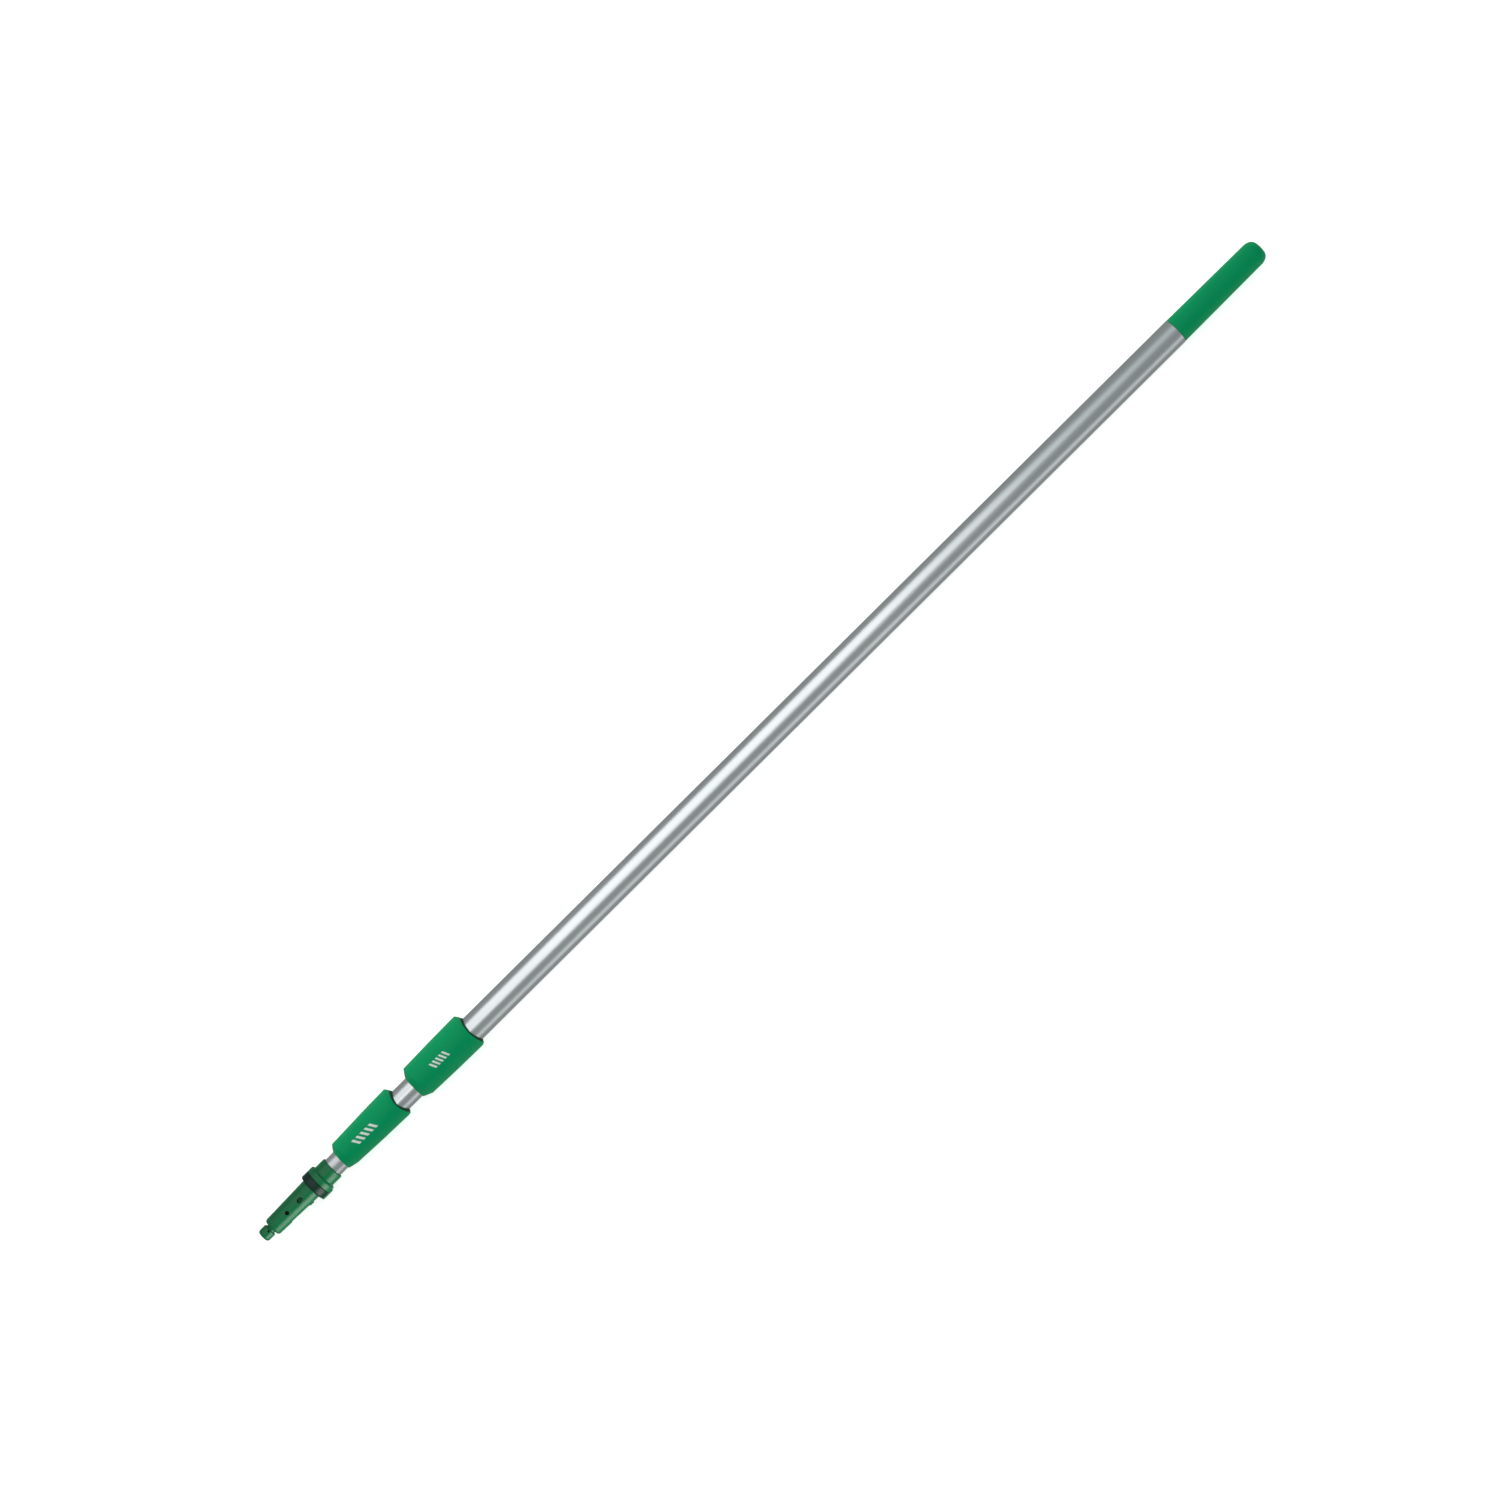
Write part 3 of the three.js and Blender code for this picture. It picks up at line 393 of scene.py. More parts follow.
GREEN = "#009B61"
GREEN_DEEP = "#00945B"
GRAIN = 0.45 * MM
ASIDE = 1.8 * MM
TWIST = math.radians(100)
CAM_MARGIN = math.radians(28)
CAM_EDGE = 0.1 * MM
SHOE_TRAVEL = 0.8 * MM
TAIL = 5 * MM
TAIL_LIP = 0.5 * MM
TAIL_LAND = 8 * MM
CAP_REACH = 1.5 * MM
SEAT_GAP = 0.3 * MM
TURN_GAP = 0.3 * MM
LIP_GAP = 0.5 * MM
LIP_WALL = 0.8 * MM
RECESS = 0.9 * MM
SWELL = 0.35 * MM
GUIDE_LENGTH = 36 * MM
STEP_BEFORE_SHOULDER = 4.3 * MM
SHOE_PLACES = 7.7 * MM, 26.3 * MM
BORE_EDGE = 0.3 * MM
SHARP = 0.01 * MM
SHOULDER_FILLET = 1.6 * MM
SHOULDER_RUN = 3 * MM
BODY_FROM_BEVEL = 2.2 * MM
LEAN_FROM_BEVEL = 1.5 * MM
NEAR = 0.1 * MM
DISH_FROM_TAIL = 10 * MM
DISH_DEPTH = 0.7 * MM
DISH_HALF_LENGTH = 15 * MM
MARK_HEIGHT = 8.4 * MM
BAR_SHARE, BAR_SLANT = 0.52, 0.8
INK_LIFT, INK_THICKNESS = 0.07 * MM, 0.1 * MM


def moulded_plastic(name, colour, deep, roughness, grain_strength=0.12, shine=0.5):
    """Injection-moulded plastic: one even colour with a slight cloudiness, a fine spark eroded
    grain and a sheen that shine sets, from 0 for none to 1."""
    material, tree, shader = new_material(name)
    place = add_node(tree, "ShaderNodeTexCoord").outputs["Object"]
    cloud = add_node(
        tree, "ShaderNodeTexNoise", None, Vector=place, Scale=55.0, Detail=3.0
    ).outputs["Fac"]
    tone = add_node(
        tree, "ShaderNodeMix", {"data_type": "RGBA"}, i0=cloud, i6=linear(deep), i7=linear(colour)
    ).outputs[2]
    grain = add_node(
        tree, "ShaderNodeTexNoise", None, Vector=place, Scale=1 / GRAIN, Detail=2.0
    ).outputs["Fac"]
    spread = add_node(
        tree, "ShaderNodeMapRange", None,
        Value=cloud, To_Min=roughness - 0.04, To_Max=roughness + 0.05,
    ).outputs["Result"]
    bump = add_node(
        tree, "ShaderNodeBump", None, Strength=grain_strength, Distance=0.03 * MM, Height=grain
    ).outputs["Normal"]
    tree.links.new(tone, shader.inputs["Base Color"])
    tree.links.new(spread, shader.inputs["Roughness"])
    tree.links.new(bump, shader.inputs["Normal"])
    shader.inputs["Specular IOR Level"].default_value = shine
    return material


green_grained = moulded_plastic("green_polypropylene_grained", GREEN, GREEN_DEEP, 0.46, shine=0.07)


def sleeve_sizes(sliding_r, fixed_r, walls, journals, bevels, scoop):
    """The radii and lengths of one sleeve, in metres. Its tubes' radii are in metres; its walls
    and the core's journals (front, rear), the bevel (short side, long side) and the scoop are
    in mm."""
    front_bore = sliding_r + SEAT_GAP + journals[0] * MM + TURN_GAP
    rear_bore = fixed_r + SEAT_GAP + journals[1] * MM + TURN_GAP
    rear_recess = rear_bore + RECESS
    core_front = bevels[1] * MM + SEAT_GAP
    shoulder = core_front + GUIDE_LENGTH
    return {
        "lip": sliding_r + LIP_GAP,
        "front_bore": front_bore,
        "rear_bore": rear_bore,
        "rear_recess": rear_recess,
        "front_r": front_bore + walls[0] * MM + ASIDE,
        "rear_r": rear_recess + walls[1] * MM + ASIDE,
        "bevel_long": bevels[1] * MM,
        "bevel": (bevels[0] + bevels[1]) / 2 * MM,
        "lean": (bevels[1] - bevels[0]) / 2 * MM,
        "bore_step": shoulder - STEP_BEFORE_SHOULDER,
        "scoop": scoop * MM,
        "cap_bore": fixed_r + LIP_GAP,
        "shoe": [core_front + place for place in SHOE_PLACES],
    }


def outside_radius(c, length, x):
    """The sleeve's outer radius at x from its front, past the bevel: two straight tapers that
    meet half-way, slightly swollen there."""
    middle = (c["bevel"] + length) / 2
    swollen = (c["front_r"] + c["rear_r"]) / 2 + SWELL
    return np.interp(x, [c["bevel"], middle, length - TAIL], [c["front_r"], swollen, c["rear_r"]])


def sleeve_points(c, start, length, columns=192):
    """The sleeve as one closed wall. Each ring of the outline is a circle about the tubes whose
    outer half is set aside in Y, leans at the bevel and is scooped at the tail; the bore's
    radius grows with the angle over the brake shoe."""
    middle = (c["bevel"] + length) / 2
    tail = length - TAIL
    end = length - CAP_REACH
    land = length - c["scoop"] - TAIL_LAND
    shoe_low, shoe_high = c["shoe"]
    inner = [(0, c["lip"], BORE_EDGE), (c["bevel_long"], c["lip"], 0)]
    inner += [(c["bevel_long"], c["front_bore"], 0), (shoe_low, c["front_bore"], 0)]
    inner += [(shoe_low + SHARP, c["front_bore"], 0), (shoe_high - SHARP, c["front_bore"], 0)]
    inner += [(shoe_high, c["front_bore"], 0), (c["bore_step"], c["front_bore"], 0)]
    inner += [(c["bore_step"], c["rear_bore"], 0), (land, c["rear_bore"], 0)]
    inner += [(land, c["rear_recess"], 0), (end, c["rear_recess"], 0)]
    inner = rounded(inner, steps=3)
    rear_x = np.linspace(end, tail, 9)
    share = (end - rear_x) / (end - tail)
    low = c["rear_recess"] + TAIL_LIP
    rear = np.stack([rear_x, low + (c["rear_r"] - low) * share**0.85], axis=-1)
    body_x = np.linspace(tail, c["bevel"] + BODY_FROM_BEVEL, 40)[1:]
    body = np.stack([body_x, outside_radius(c, length, body_x)], axis=-1)
    run_end = c["bevel"] + SHOULDER_RUN
    shoulder = rounded(
        [
            (run_end, float(outside_radius(c, length, run_end)), 0),
            (c["bevel"], c["front_r"], SHOULDER_FILLET),
            (0, c["lip"] + LIP_WALL, BORE_EDGE),
            (0, c["lip"], 0),
        ],
        steps=6,
    )[1:-1]
    bevel_face = np.linspace(shoulder[6], shoulder[7], 8)[1:-1]
    outer = np.concatenate([rear, body, shoulder[:7], bevel_face, shoulder[7:]])
    outline = np.concatenate([inner, outer])
    is_outer = np.arange(len(outline)) >= len(inner)
    x, r = outline[:, 0], outline[:, 1]
    front_share = np.clip(x / c["bevel"], 0, 1)
    tail_share = np.clip((end - x) / (end - tail), 0, 1)
    aside = np.where(is_outer, front_share * tail_share, 0) * ASIDE
    back_off = np.clip((middle - x) / (middle - c["bevel"] - LEAN_FROM_BEVEL), 0, 1)
    lean = np.where(is_outer, front_share * back_off, 0) * c["lean"]
    rear_share = np.clip((x - middle) / (tail - middle), 0, 1)
    bore_share = np.clip((x - land) / (end - land), 0, 1) * (r > c["rear_bore"] + NEAR)
    scoop = np.where(is_outer, rear_share**2, bore_share) * c["scoop"]
    t = np.linspace(0, 2 * math.pi, columns, endpoint=False)
    side = np.cos(t)
    turn = (t + math.pi) % (2 * math.pi) - math.pi
    rise = np.clip(-turn / TWIST, 0, None) * SHOE_TRAVEL + CAM_EDGE
    over_cam = (turn < CAM_MARGIN) & (turn > -TWIST - CAM_MARGIN)
    on_shoe = ~is_outer & (x > shoe_low) & (x < shoe_high) & (r < c["front_bore"] + NEAR)
    cam = on_shoe[:, None] * np.where(over_cam, rise, 0)[None]
    dish_x = np.clip(1 - ((x - (tail - DISH_FROM_TAIL)) / DISH_HALF_LENGTH) ** 2, 0, None)
    dish = np.where(is_outer, dish_x**1.5, 0)[:, None] * np.abs(np.sin(t)) ** 6 * DISH_DEPTH
    radius = r[:, None] + cam - dish
    return np.stack(
        [
            start + x[:, None] - lean[:, None] * side - scoop[:, None] * (1 - side**2),
            AXIS_Y + aside[:, None] + radius * side,
            AXIS_Z + radius * np.sin(t),
        ],
        axis=-1,
    )


def turn_mark(name, c, start, length, low_x, high_x, body, bars=5):
    """Slanted bars printed on top of a sleeve. Each bar is a small patch that follows the
    sleeve's surface just above it, about half a pitch wide, and leans by its slant."""
    pitch = (high_x - low_x) / bars
    width = BAR_SHARE * pitch
    around = np.linspace(-0.5, 0.5, 12)
    pieces = []
    for k in range(bars):
        lean = (around * pitch * BAR_SLANT)[None]
        x = low_x + pitch * k + np.linspace(0, width, 6)[:, None] + lean
        r = outside_radius(c, length, x) + INK_LIFT
        t = math.pi / 2 + (around[None] * MARK_HEIGHT) / r
        points = np.stack(
            [start + x, AXIS_Y + ASIDE + r * np.cos(t), AXIS_Z + r * np.sin(t)], axis=-1
        )
        pieces.append(points)
    grid = np.concatenate([p.reshape(-1, 3) for p in pieces])
    rows, columns = 6, len(around)
    i, j = np.meshgrid(np.arange(rows - 1), np.arange(columns - 1), indexing="ij")
    patch = np.stack(
        [i * columns + j, (i + 1) * columns + j, (i + 1) * columns + j + 1, i * columns + j + 1],
        axis=-1,
    ).reshape(-1, 4)
    faces = np.concatenate([patch + k * rows * columns for k in range(bars)])
    mesh = bpy.data.meshes.new(name)
    mesh.from_pydata(grid, [], faces.tolist())
    mesh.shade_smooth()
    mark = link_object(name, mesh)
    thick = mark.modifiers.new("ink", "SOLIDIFY")
    thick.thickness = INK_THICKNESS
    thick.offset = 0
    mark.data.materials.append(white_ink)
    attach(mark, body)
    return mark


white_ink, tree, shader = new_material("white_pad_print_ink")
place = add_node(tree, "ShaderNodeTexCoord").outputs["Object"]
worn = add_node(
    tree, "ShaderNodeTexNoise", None, Vector=place, Scale=900.0, Detail=3.0
).outputs["Fac"]
ink = add_node(
    tree, "ShaderNodeMix", {"data_type": "RGBA"},
    i0=worn, i6=linear("#C9D8D0"), i7=linear("#EEF3F0"),
).outputs[2]
tree.links.new(ink, shader.inputs["Base Color"])
shader.inputs["Roughness"].default_value = 0.55

SLEEVES = {
    "front": sleeve_sizes(INNER_R, MIDDLE_R, (1.2, 1.5), (1.9, 1.5), (4.4, 11), 4.7),
    "rear": sleeve_sizes(MIDDLE_R, OUTER_R, (2.75, 1.95), (2.2, 1.6), (5.5, 10), 3.1),
}
LENGTHS = {"front": 93 * MM, "rear": 91 * MM}
# The sleeves' fronts are measured from the pole's tip, and the bars from each sleeve's front.
STARTS = {"front": 122.1 * MM, "rear": 236.1 * MM}
MARKS = {"front": (26 * MM, 58 * MM), "rear": (32 * MM, 56 * MM)}
tip_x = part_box("nose_knob")[0][0]

for which, c in SLEEVES.items():
    begin = tip_x + STARTS[which]
    sleeve = surface(
        which + "_sleeve_fine", sleeve_points(c, begin, LENGTHS[which]), loop=True, smooth_to=40
    )
    fit(sleeve, which + "_clamp_sleeve", green_grained, which + "_twist_sleeve")
    turn_mark(
        which + "_turn_mark", c, begin, LENGTHS[which], *MARKS[which], which + "_twist_sleeve"
    )


# ---- What sits inside the clamps ----
# The cores are moulded in black nylon and pinned on the tubes; the shoes are hard grey acetal,
# the wipers rubber, and the dowels and spring rings steel. A bevelled cap snapped into each
# sleeve's tail closes it down to the tube; its dark green is painted shade for the tail's bevel.

CAP_LENGTH = 2.7 * MM
CAP_LIP = 0.6 * MM
CAP_EDGES = 0.15 * MM, 0.3 * MM, 0.2 * MM


def plain_metal(name, colour, roughness):
    """Steel wire and rod, bright, or darkened as painted shade, with a faint cloud in its polish.
    """
    material, tree, shader = new_material(name)
    place = add_node(tree, "ShaderNodeTexCoord").outputs["Object"]
    cloud = add_node(
        tree, "ShaderNodeTexNoise", None, Vector=place, Scale=400.0, Detail=2.0
    ).outputs["Fac"]
    spread = add_node(
        tree, "ShaderNodeMapRange", None, Value=cloud, To_Min=roughness, To_Max=roughness + 0.12
    ).outputs["Result"]
    tree.links.new(spread, shader.inputs["Roughness"])
    shader.inputs["Base Color"].default_value = linear(colour)
    shader.inputs["Metallic"].default_value = 1.0
    return material


black_nylon = moulded_plastic("black_nylon", "#1E2624", "#161C1B", 0.5)
grey_acetal = moulded_plastic("grey_acetal", "#959C98", "#868D89", 0.4)
# The end caps' dark green is painted shade: it darkens the sleeves' tail bevels.
painted_shade_cap = moulded_plastic("dark_green_cap_painted_shade", "#03452C", "#023A24", 0.5, shine=0.25)
black_rubber = moulded_plastic("black_rubber", "#052A1E", "#042118", 0.36, 0.15, shine=0.2)
bright_steel = plain_metal("bright_steel", "#C2C5C7", 0.22)


def finish_cad(node, material):
    """A CAD node that stays as it is gets its material."""
    nodes[node].data.materials.clear()
    nodes[node].data.materials.append(material)


for which, c in SLEEVES.items():
    cap_end = tip_x + STARTS[which] + LENGTHS[which]
    cap_front = cap_end - CAP_LENGTH
    cap_r = c["rear_recess"] - SEAT_GAP
    outline = rounded(
        [
            (cap_front, c["cap_bore"], 0),
            (cap_end, c["cap_bore"], CAP_EDGES[0]),
            (cap_end, c["cap_bore"] + CAP_LIP, CAP_EDGES[1]),
            (cap_end - CAP_REACH, cap_r, CAP_EDGES[2]),
            (cap_front, cap_r, 0),
        ],
        steps=4,
    )
    points = around_axis(outline)
    from_axis = points[..., 1:] - (AXIS_Y, AXIS_Z)
    height = from_axis[..., 1] / np.linalg.norm(from_axis, axis=-1)
    points[..., 0] -= c["scoop"] * height**2
    cap = surface(which + "_end_cap_fine", points, loop=True)
    fit(cap, which + "_clamp_end_cap", painted_shade_cap, which + "_twist_sleeve")
    finish_cad(which + "_clamp_core", black_nylon)
    finish_cad(which + "_clamp_brake_shoe", grey_acetal)
    finish_cad(which + "_clamp_retaining_ring", bright_steel)


def ring_between(node, bore, outside, edge, material, body):
    """A plain turned ring that fills a node's length, with softened edges."""
    low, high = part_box(node)
    corners = [(low[0], bore), (high[0], bore), (high[0], outside), (low[0], outside)]
    ring = turned(node + "_fine", rounded([(x, r, edge) for x, r in corners], steps=3))
    return fit(ring, node, material, body)


WIPER = 0.8 * MM
SLIDE_GAP = 0.3 * MM
ring_between(
    "front_clamp_wiper_seal", INNER_R + SLIDE_GAP, INNER_R + SLIDE_GAP + WIPER, 0.2 * MM,
    black_rubber, "middle_section",
)
ring_between(
    "rear_clamp_wiper_seal", MIDDLE_R + SLIDE_GAP, MIDDLE_R + SLIDE_GAP + WIPER, 0.2 * MM,
    black_rubber, "pole_body",
)


def dowel(node, body, metal):
    """A steel dowel along Z with bevelled ends, in the place and size of its node."""
    low, high = (np.array(corner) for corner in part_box(node))
    radius = (high[0] - low[0]) / 2
    middle = (low + high) / 2
    bevel = 0.18 * radius
    ring = [(0, low[2]), (radius - bevel, low[2]), (radius, low[2] + bevel)]
    ring += [(radius, high[2] - bevel), (radius - bevel, high[2]), (0, high[2])]
    t = np.linspace(0, 2 * math.pi, 40, endpoint=False)
    rings = [(middle[0] + r * np.cos(t), middle[1] + r * np.sin(t), z + 0 * t) for r, z in ring]
    points = np.stack([np.stack(around, axis=-1) for around in rings])
    pin = surface(node + "_fine", points, loop=False, smooth_to=30)
    return fit(pin, node, metal, body)


for node, body in {
    "front_clamp_pin_upper": "middle_section",
    "front_clamp_pin_lower": "middle_section",
    "rear_clamp_pin_upper": "pole_body",
    "rear_clamp_pin_lower": "pole_body",
    "middle_bush_pin": "middle_section",
    "inner_bush_pin": "inner_section",
    "cone_pin": "inner_section",
    "grip_pin": "pole_body",
}.items():
    dowel(node, body, bright_steel)
# The pivot pin is coloured near-black as painted shade, so the pivot hole on the cone's top reads
# dark.
steel_dark_painted_shade = plain_metal("steel_dark_painted_shade", "#16201C", 0.5)
dowel("latch_pivot_pin", "inner_section", steel_dark_painted_shade)


# ---- Bushes in the tails of the sliding tubes ----
# Turned acetal plugs, pushed into the tube and held by a dowel. The head is as wide as the next
# tube's bore allows and keeps the tube centred.

BUSH_WALL = 4.2 * MM
BUSH_PLUG = 18.3 * MM
BUSH_EDGE = 1 * MM
BUSH_BLIND_WALL = 1.4 * MM


def rear_bush(node, tube_r, outer_bore, body):
    """Plug, head and through bore as one turned piece, with a blind hole for its dowel."""
    low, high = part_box(node)
    plug, head = tube_r - TUBE_WALL - SEAT_GAP, outer_bore - BORE_GAP
    bore = plug - BUSH_WALL
    step = low[0] + BUSH_PLUG
    outline = rounded(
        [
            (low[0], bore, 0.3 * MM),
            (high[0], bore, 0.3 * MM),
            (high[0], head, BUSH_EDGE),
            (step, head, BUSH_EDGE),
            (step, plug, 0),
            (low[0], plug, 0.5 * MM),
        ]
    )
    bush = turned(node + "_fine", outline)
    x = middle_x(node.replace("rear_bush", "bush_pin"))
    cut_away(bush, bar_along_z(PIN_HOLE_R, x, -2 * tube_r, -bore - BUSH_BLIND_WALL))
    return fit(bush, node, grey_acetal, body)


rear_bush("middle_rear_bush", MIDDLE_R, OUTER_R - TUBE_WALL, "middle_section")
rear_bush("inner_rear_bush", INNER_R, MIDDLE_R - TUBE_WALL, "inner_section")


# ---- Cone and nose knob ----
# The cone is moulded in glossy green nylon and takes the tool. A slot along one side holds the
# latch; the dark holes on top are the latch's pivot, whose pin is painted dark as shade, and a
# pocket. The knob in front has a cross hole and is pushed into the cone on a stem.

green_gloss = moulded_plastic("green_nylon_glossy", "#006439", "#005D34", 0.3, 0.05, shine=0.22)

KNOB_LENGTH, KNOB_EDGE = 11.9 * MM, 3.2 * MM
KNOB_HOLE, KNOB_HOLE_R = 9.8 * MM, 1.3 * MM
KNOB_HOLE_FLOOR, KNOB_CUT_REACH = -3 * MM, 20 * MM
KNOB_R, NECK_R, STEM_R = 7.8 * MM, 5.6 * MM, 4 * MM
CONE_LENGTH, CONE_FRONT_R, CONE_REAR_R = 62 * MM, 10.85 * MM, 12.7 * MM
CONE_EDGE = 3.2 * MM
SPIGOT_R = INNER_R - TUBE_WALL - SEAT_GAP
cone_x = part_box("cone_body")[0][0]
spigot_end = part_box("cone_body")[1][0]

stem_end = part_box("nose_knob")[1][0]
neck_end = cone_x - SEAT_GAP
knob = turned(
    "nose_knob_fine",
    np.concatenate(
        [
            [(tip_x, 0)],
            rounded(
                [
                    (tip_x, 0, 0),
                    (tip_x, KNOB_R, KNOB_EDGE),
                    (tip_x + KNOB_LENGTH, KNOB_R, 1.3 * MM),
                    (tip_x + KNOB_LENGTH, NECK_R, 0),
                    (neck_end, NECK_R, 0),
                    (neck_end, STEM_R, 0),
                    (stem_end, STEM_R, 0.8 * MM),
                    (stem_end, 0, 0),
                ],
                steps=8,
            )[1:],
        ]
    ),
    wall=False,
)
cut_away(knob, bar_along_z(KNOB_HOLE_R, tip_x + KNOB_HOLE, KNOB_HOLE_FLOOR, KNOB_CUT_REACH))
fit(knob, "nose_knob", green_gloss, "inner_section")


def box_between(low, high):
    """A plain box between two corners, relative to the tubes' axis in Y and Z, to cut with."""
    shift = np.array((0, AXIS_Y, AXIS_Z))
    a, b = np.array(low) + shift, np.array(high) + shift
    corners = [(x, y, z) for x in (a[0], b[0]) for y in (a[1], b[1]) for z in (a[2], b[2])]
    faces = [(0, 1, 3, 2), (4, 6, 7, 5), (0, 4, 5, 1), (2, 3, 7, 6), (0, 2, 6, 4), (1, 5, 7, 3)]
    mesh = bpy.data.meshes.new("cutter")
    mesh.from_pydata(corners, [], faces)
    return link_object("cutter", mesh)


def oval_bar(x, length, width, low, high):
    """A bar along Z with an oval section: two half rounds joined by straight sides."""
    t = np.linspace(0, 2 * math.pi, 40, endpoint=False)
    along = x + (length - width) / 2 * np.sign(np.cos(t)) + width / 2 * np.cos(t)
    aside = AXIS_Y + width / 2 * np.sin(t)
    rings = [
        (x + (along - x) * share, AXIS_Y + (aside - AXIS_Y) * share, AXIS_Z + z + 0 * t)
        for share, z in [(0, low), (1, low), (1, high), (0, high)]
    ]
    points = np.stack([np.stack(ring, axis=-1) for ring in rings])
    return surface("cutter", points, loop=False)


def cone_radius(from_front):
    """The cone's radius a distance behind its front face: a straight taper."""
    share = (from_front - CONE_EDGE) / (CONE_LENGTH - CONE_EDGE)
    return CONE_FRONT_R + (CONE_REAR_R - CONE_FRONT_R) * share


cone_rear = cone_x + CONE_LENGTH
RING_RECESS = 0.6 * MM
SPIGOT_BORE = 7.5 * MM
SPIGOT_DEPTH = 52 * MM
hollow = spigot_end - SPIGOT_DEPTH
cone = turned(
    "cone_body_fine",
    rounded(
        [
            (cone_x, 0, 0),
            (cone_x, CONE_FRONT_R, CONE_EDGE),
            (cone_rear, CONE_REAR_R, 0),
            (cone_rear + RING_RECESS, CONE_REAR_R, 0.2 * MM),
            (cone_rear + RING_RECESS, SPIGOT_R, 0),
            (spigot_end, SPIGOT_R, 0.5 * MM),
            (spigot_end, SPIGOT_BORE, 0),
            (hollow, SPIGOT_BORE, 0),
            (hollow, 0, 0),
        ],
        steps=8,
    ),
    wall=False,
)
STEM_HOLE = 14.3 * MM
SLOT_HALF = 4.3 * MM
SLOT_FLOOR = -2.6 * MM
EYE_ROOM = 4.6 * MM
LEVER_FROM = 2 * MM
WELL_R, WELL_FLOOR, WELL_MOUTH = 3.1 * MM, -4 * MM, 3 * MM
PIVOT_X = cone_x + 25 * MM
PIVOT_BORE = 2.4 * MM
POCKET = 45 * MM
POCKET_LENGTH, POCKET_WIDTH, POCKET_DEPTH = 7.6 * MM, 5.4 * MM, 6 * MM
PIN_FLOOR = -6.5 * MM
CUT_REACH = 30 * MM
PAST = 1 * MM
slot_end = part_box("inner_tube")[0][0] - SEAT_GAP
spring_low, spring_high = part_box("latch_spring")
spring_x = (spring_low[0] + spring_high[0]) / 2


def bar_along_axis(radius, low, high):
    """A plain round bar on the tubes' axis, to cut with."""
    outline = np.array([(low, 0), (low, radius), (high, radius), (high, 0)])
    return turned("cutter", outline, wall=False, columns=64)


def spring_well(radius, low, high):
    """A plain round bar along Y where the spring stands, to cut with."""
    t = np.linspace(0, 2 * math.pi, 32, endpoint=False)
    rings = [(0, low), (radius, low), (radius, high), (0, high)]
    points = np.array(
        [
            np.stack([spring_x + r * np.cos(t), AXIS_Y + y + 0 * t, AXIS_Z + r * np.sin(t)], -1)
            for r, y in rings
        ]
    )
    return surface("cutter", points, loop=False)


cut_away(
    cone,
    bar_along_axis(STEM_R + SEAT_GAP, cone_x - PAST, cone_x + STEM_HOLE),
    box_between(
        (PIVOT_X - EYE_ROOM, -CUT_REACH, -SLOT_HALF), (PIVOT_X + EYE_ROOM, EYE_ROOM, SLOT_HALF)
    ),
    box_between(
        (PIVOT_X + LEVER_FROM, -CUT_REACH, -SLOT_HALF), (slot_end, SLOT_FLOOR, SLOT_HALF)
    ),
    spring_well(WELL_R, WELL_FLOOR, WELL_MOUTH),
    bar_along_z(PIVOT_BORE, PIVOT_X, -CUT_REACH, CUT_REACH, 32),
    oval_bar(
        cone_x + POCKET, POCKET_LENGTH, POCKET_WIDTH, cone_radius(POCKET) - POCKET_DEPTH, CUT_REACH
    ),
    bar_along_z(PIN_HOLE_R, middle_x("cone_pin"), -CUT_REACH, PIN_FLOOR),
)
fit(cone, "cone_body", green_gloss, "inner_section")


# ---- Stop ring, rim and pommel ----
# A black rubber ring stops the tool. The green rim behind it is moulded in one with the pommel
# that holds the tube's mouth. Both are open on one side for the button.

RING_R, POMMEL_R = 16.9 * MM, 13.85 * MM
RIM_WIDTH, RIM_EDGE = 8 * MM, 2.2 * MM
ring_low, ring_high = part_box("stop_ring")
rim_low, rim_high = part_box("rim_and_pommel")
button_low, button_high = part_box("latch_button")
ring_bore = SPIGOT_R + SEAT_GAP
ring_seat = CONE_REAR_R + SEAT_GAP
ring_front = ring_low[0]

stop = turned(
    "stop_ring_fine",
    rounded(
        [
            (ring_front, ring_seat, 0),
            (ring_front + RING_RECESS, ring_seat, 0),
            (ring_front + RING_RECESS, ring_bore, 0),
            (ring_high[0], ring_bore, 0),
            (ring_high[0], RING_R, 0.6 * MM),
            (ring_front, RING_R, RIM_EDGE),
        ],
        steps=8,
    ),
)
BUTTON_SWING = 0.65 * MM
gap_end = button_high[0] + SEAT_GAP + BUTTON_SWING
cut_away(
    stop,
    box_between((ring_front - PAST, -CUT_REACH, -SLOT_HALF), (ring_high[0] + PAST, 0, SLOT_HALF)),
)
fit(stop, "stop_ring", black_rubber, "inner_section")

collar = turned(
    "rim_and_pommel_fine",
    rounded(
        [
            (rim_low[0], ring_bore, 0),
            (slot_end, ring_bore, 0),
            (slot_end, INNER_R + SEAT_GAP, 0),
            (rim_high[0], INNER_R + SEAT_GAP, 0.3 * MM),
            (rim_high[0], POMMEL_R, 1.2 * MM),
            (rim_low[0] + RIM_WIDTH, POMMEL_R, 0.8 * MM),
            (rim_low[0] + RIM_WIDTH, RING_R, RIM_EDGE),
            (rim_low[0], RING_R, 0.4 * MM),
        ],
        steps=8,
    ),
)
cut_away(
    collar,
    box_between((rim_low[0] - PAST, -CUT_REACH, -SLOT_HALF), (gap_end, 0, SLOT_HALF)),
    bar_along_z(PIN_HOLE_R, middle_x("cone_pin"), -CUT_REACH, 0),
)
fit(collar, "rim_and_pommel", green_gloss, "inner_section")


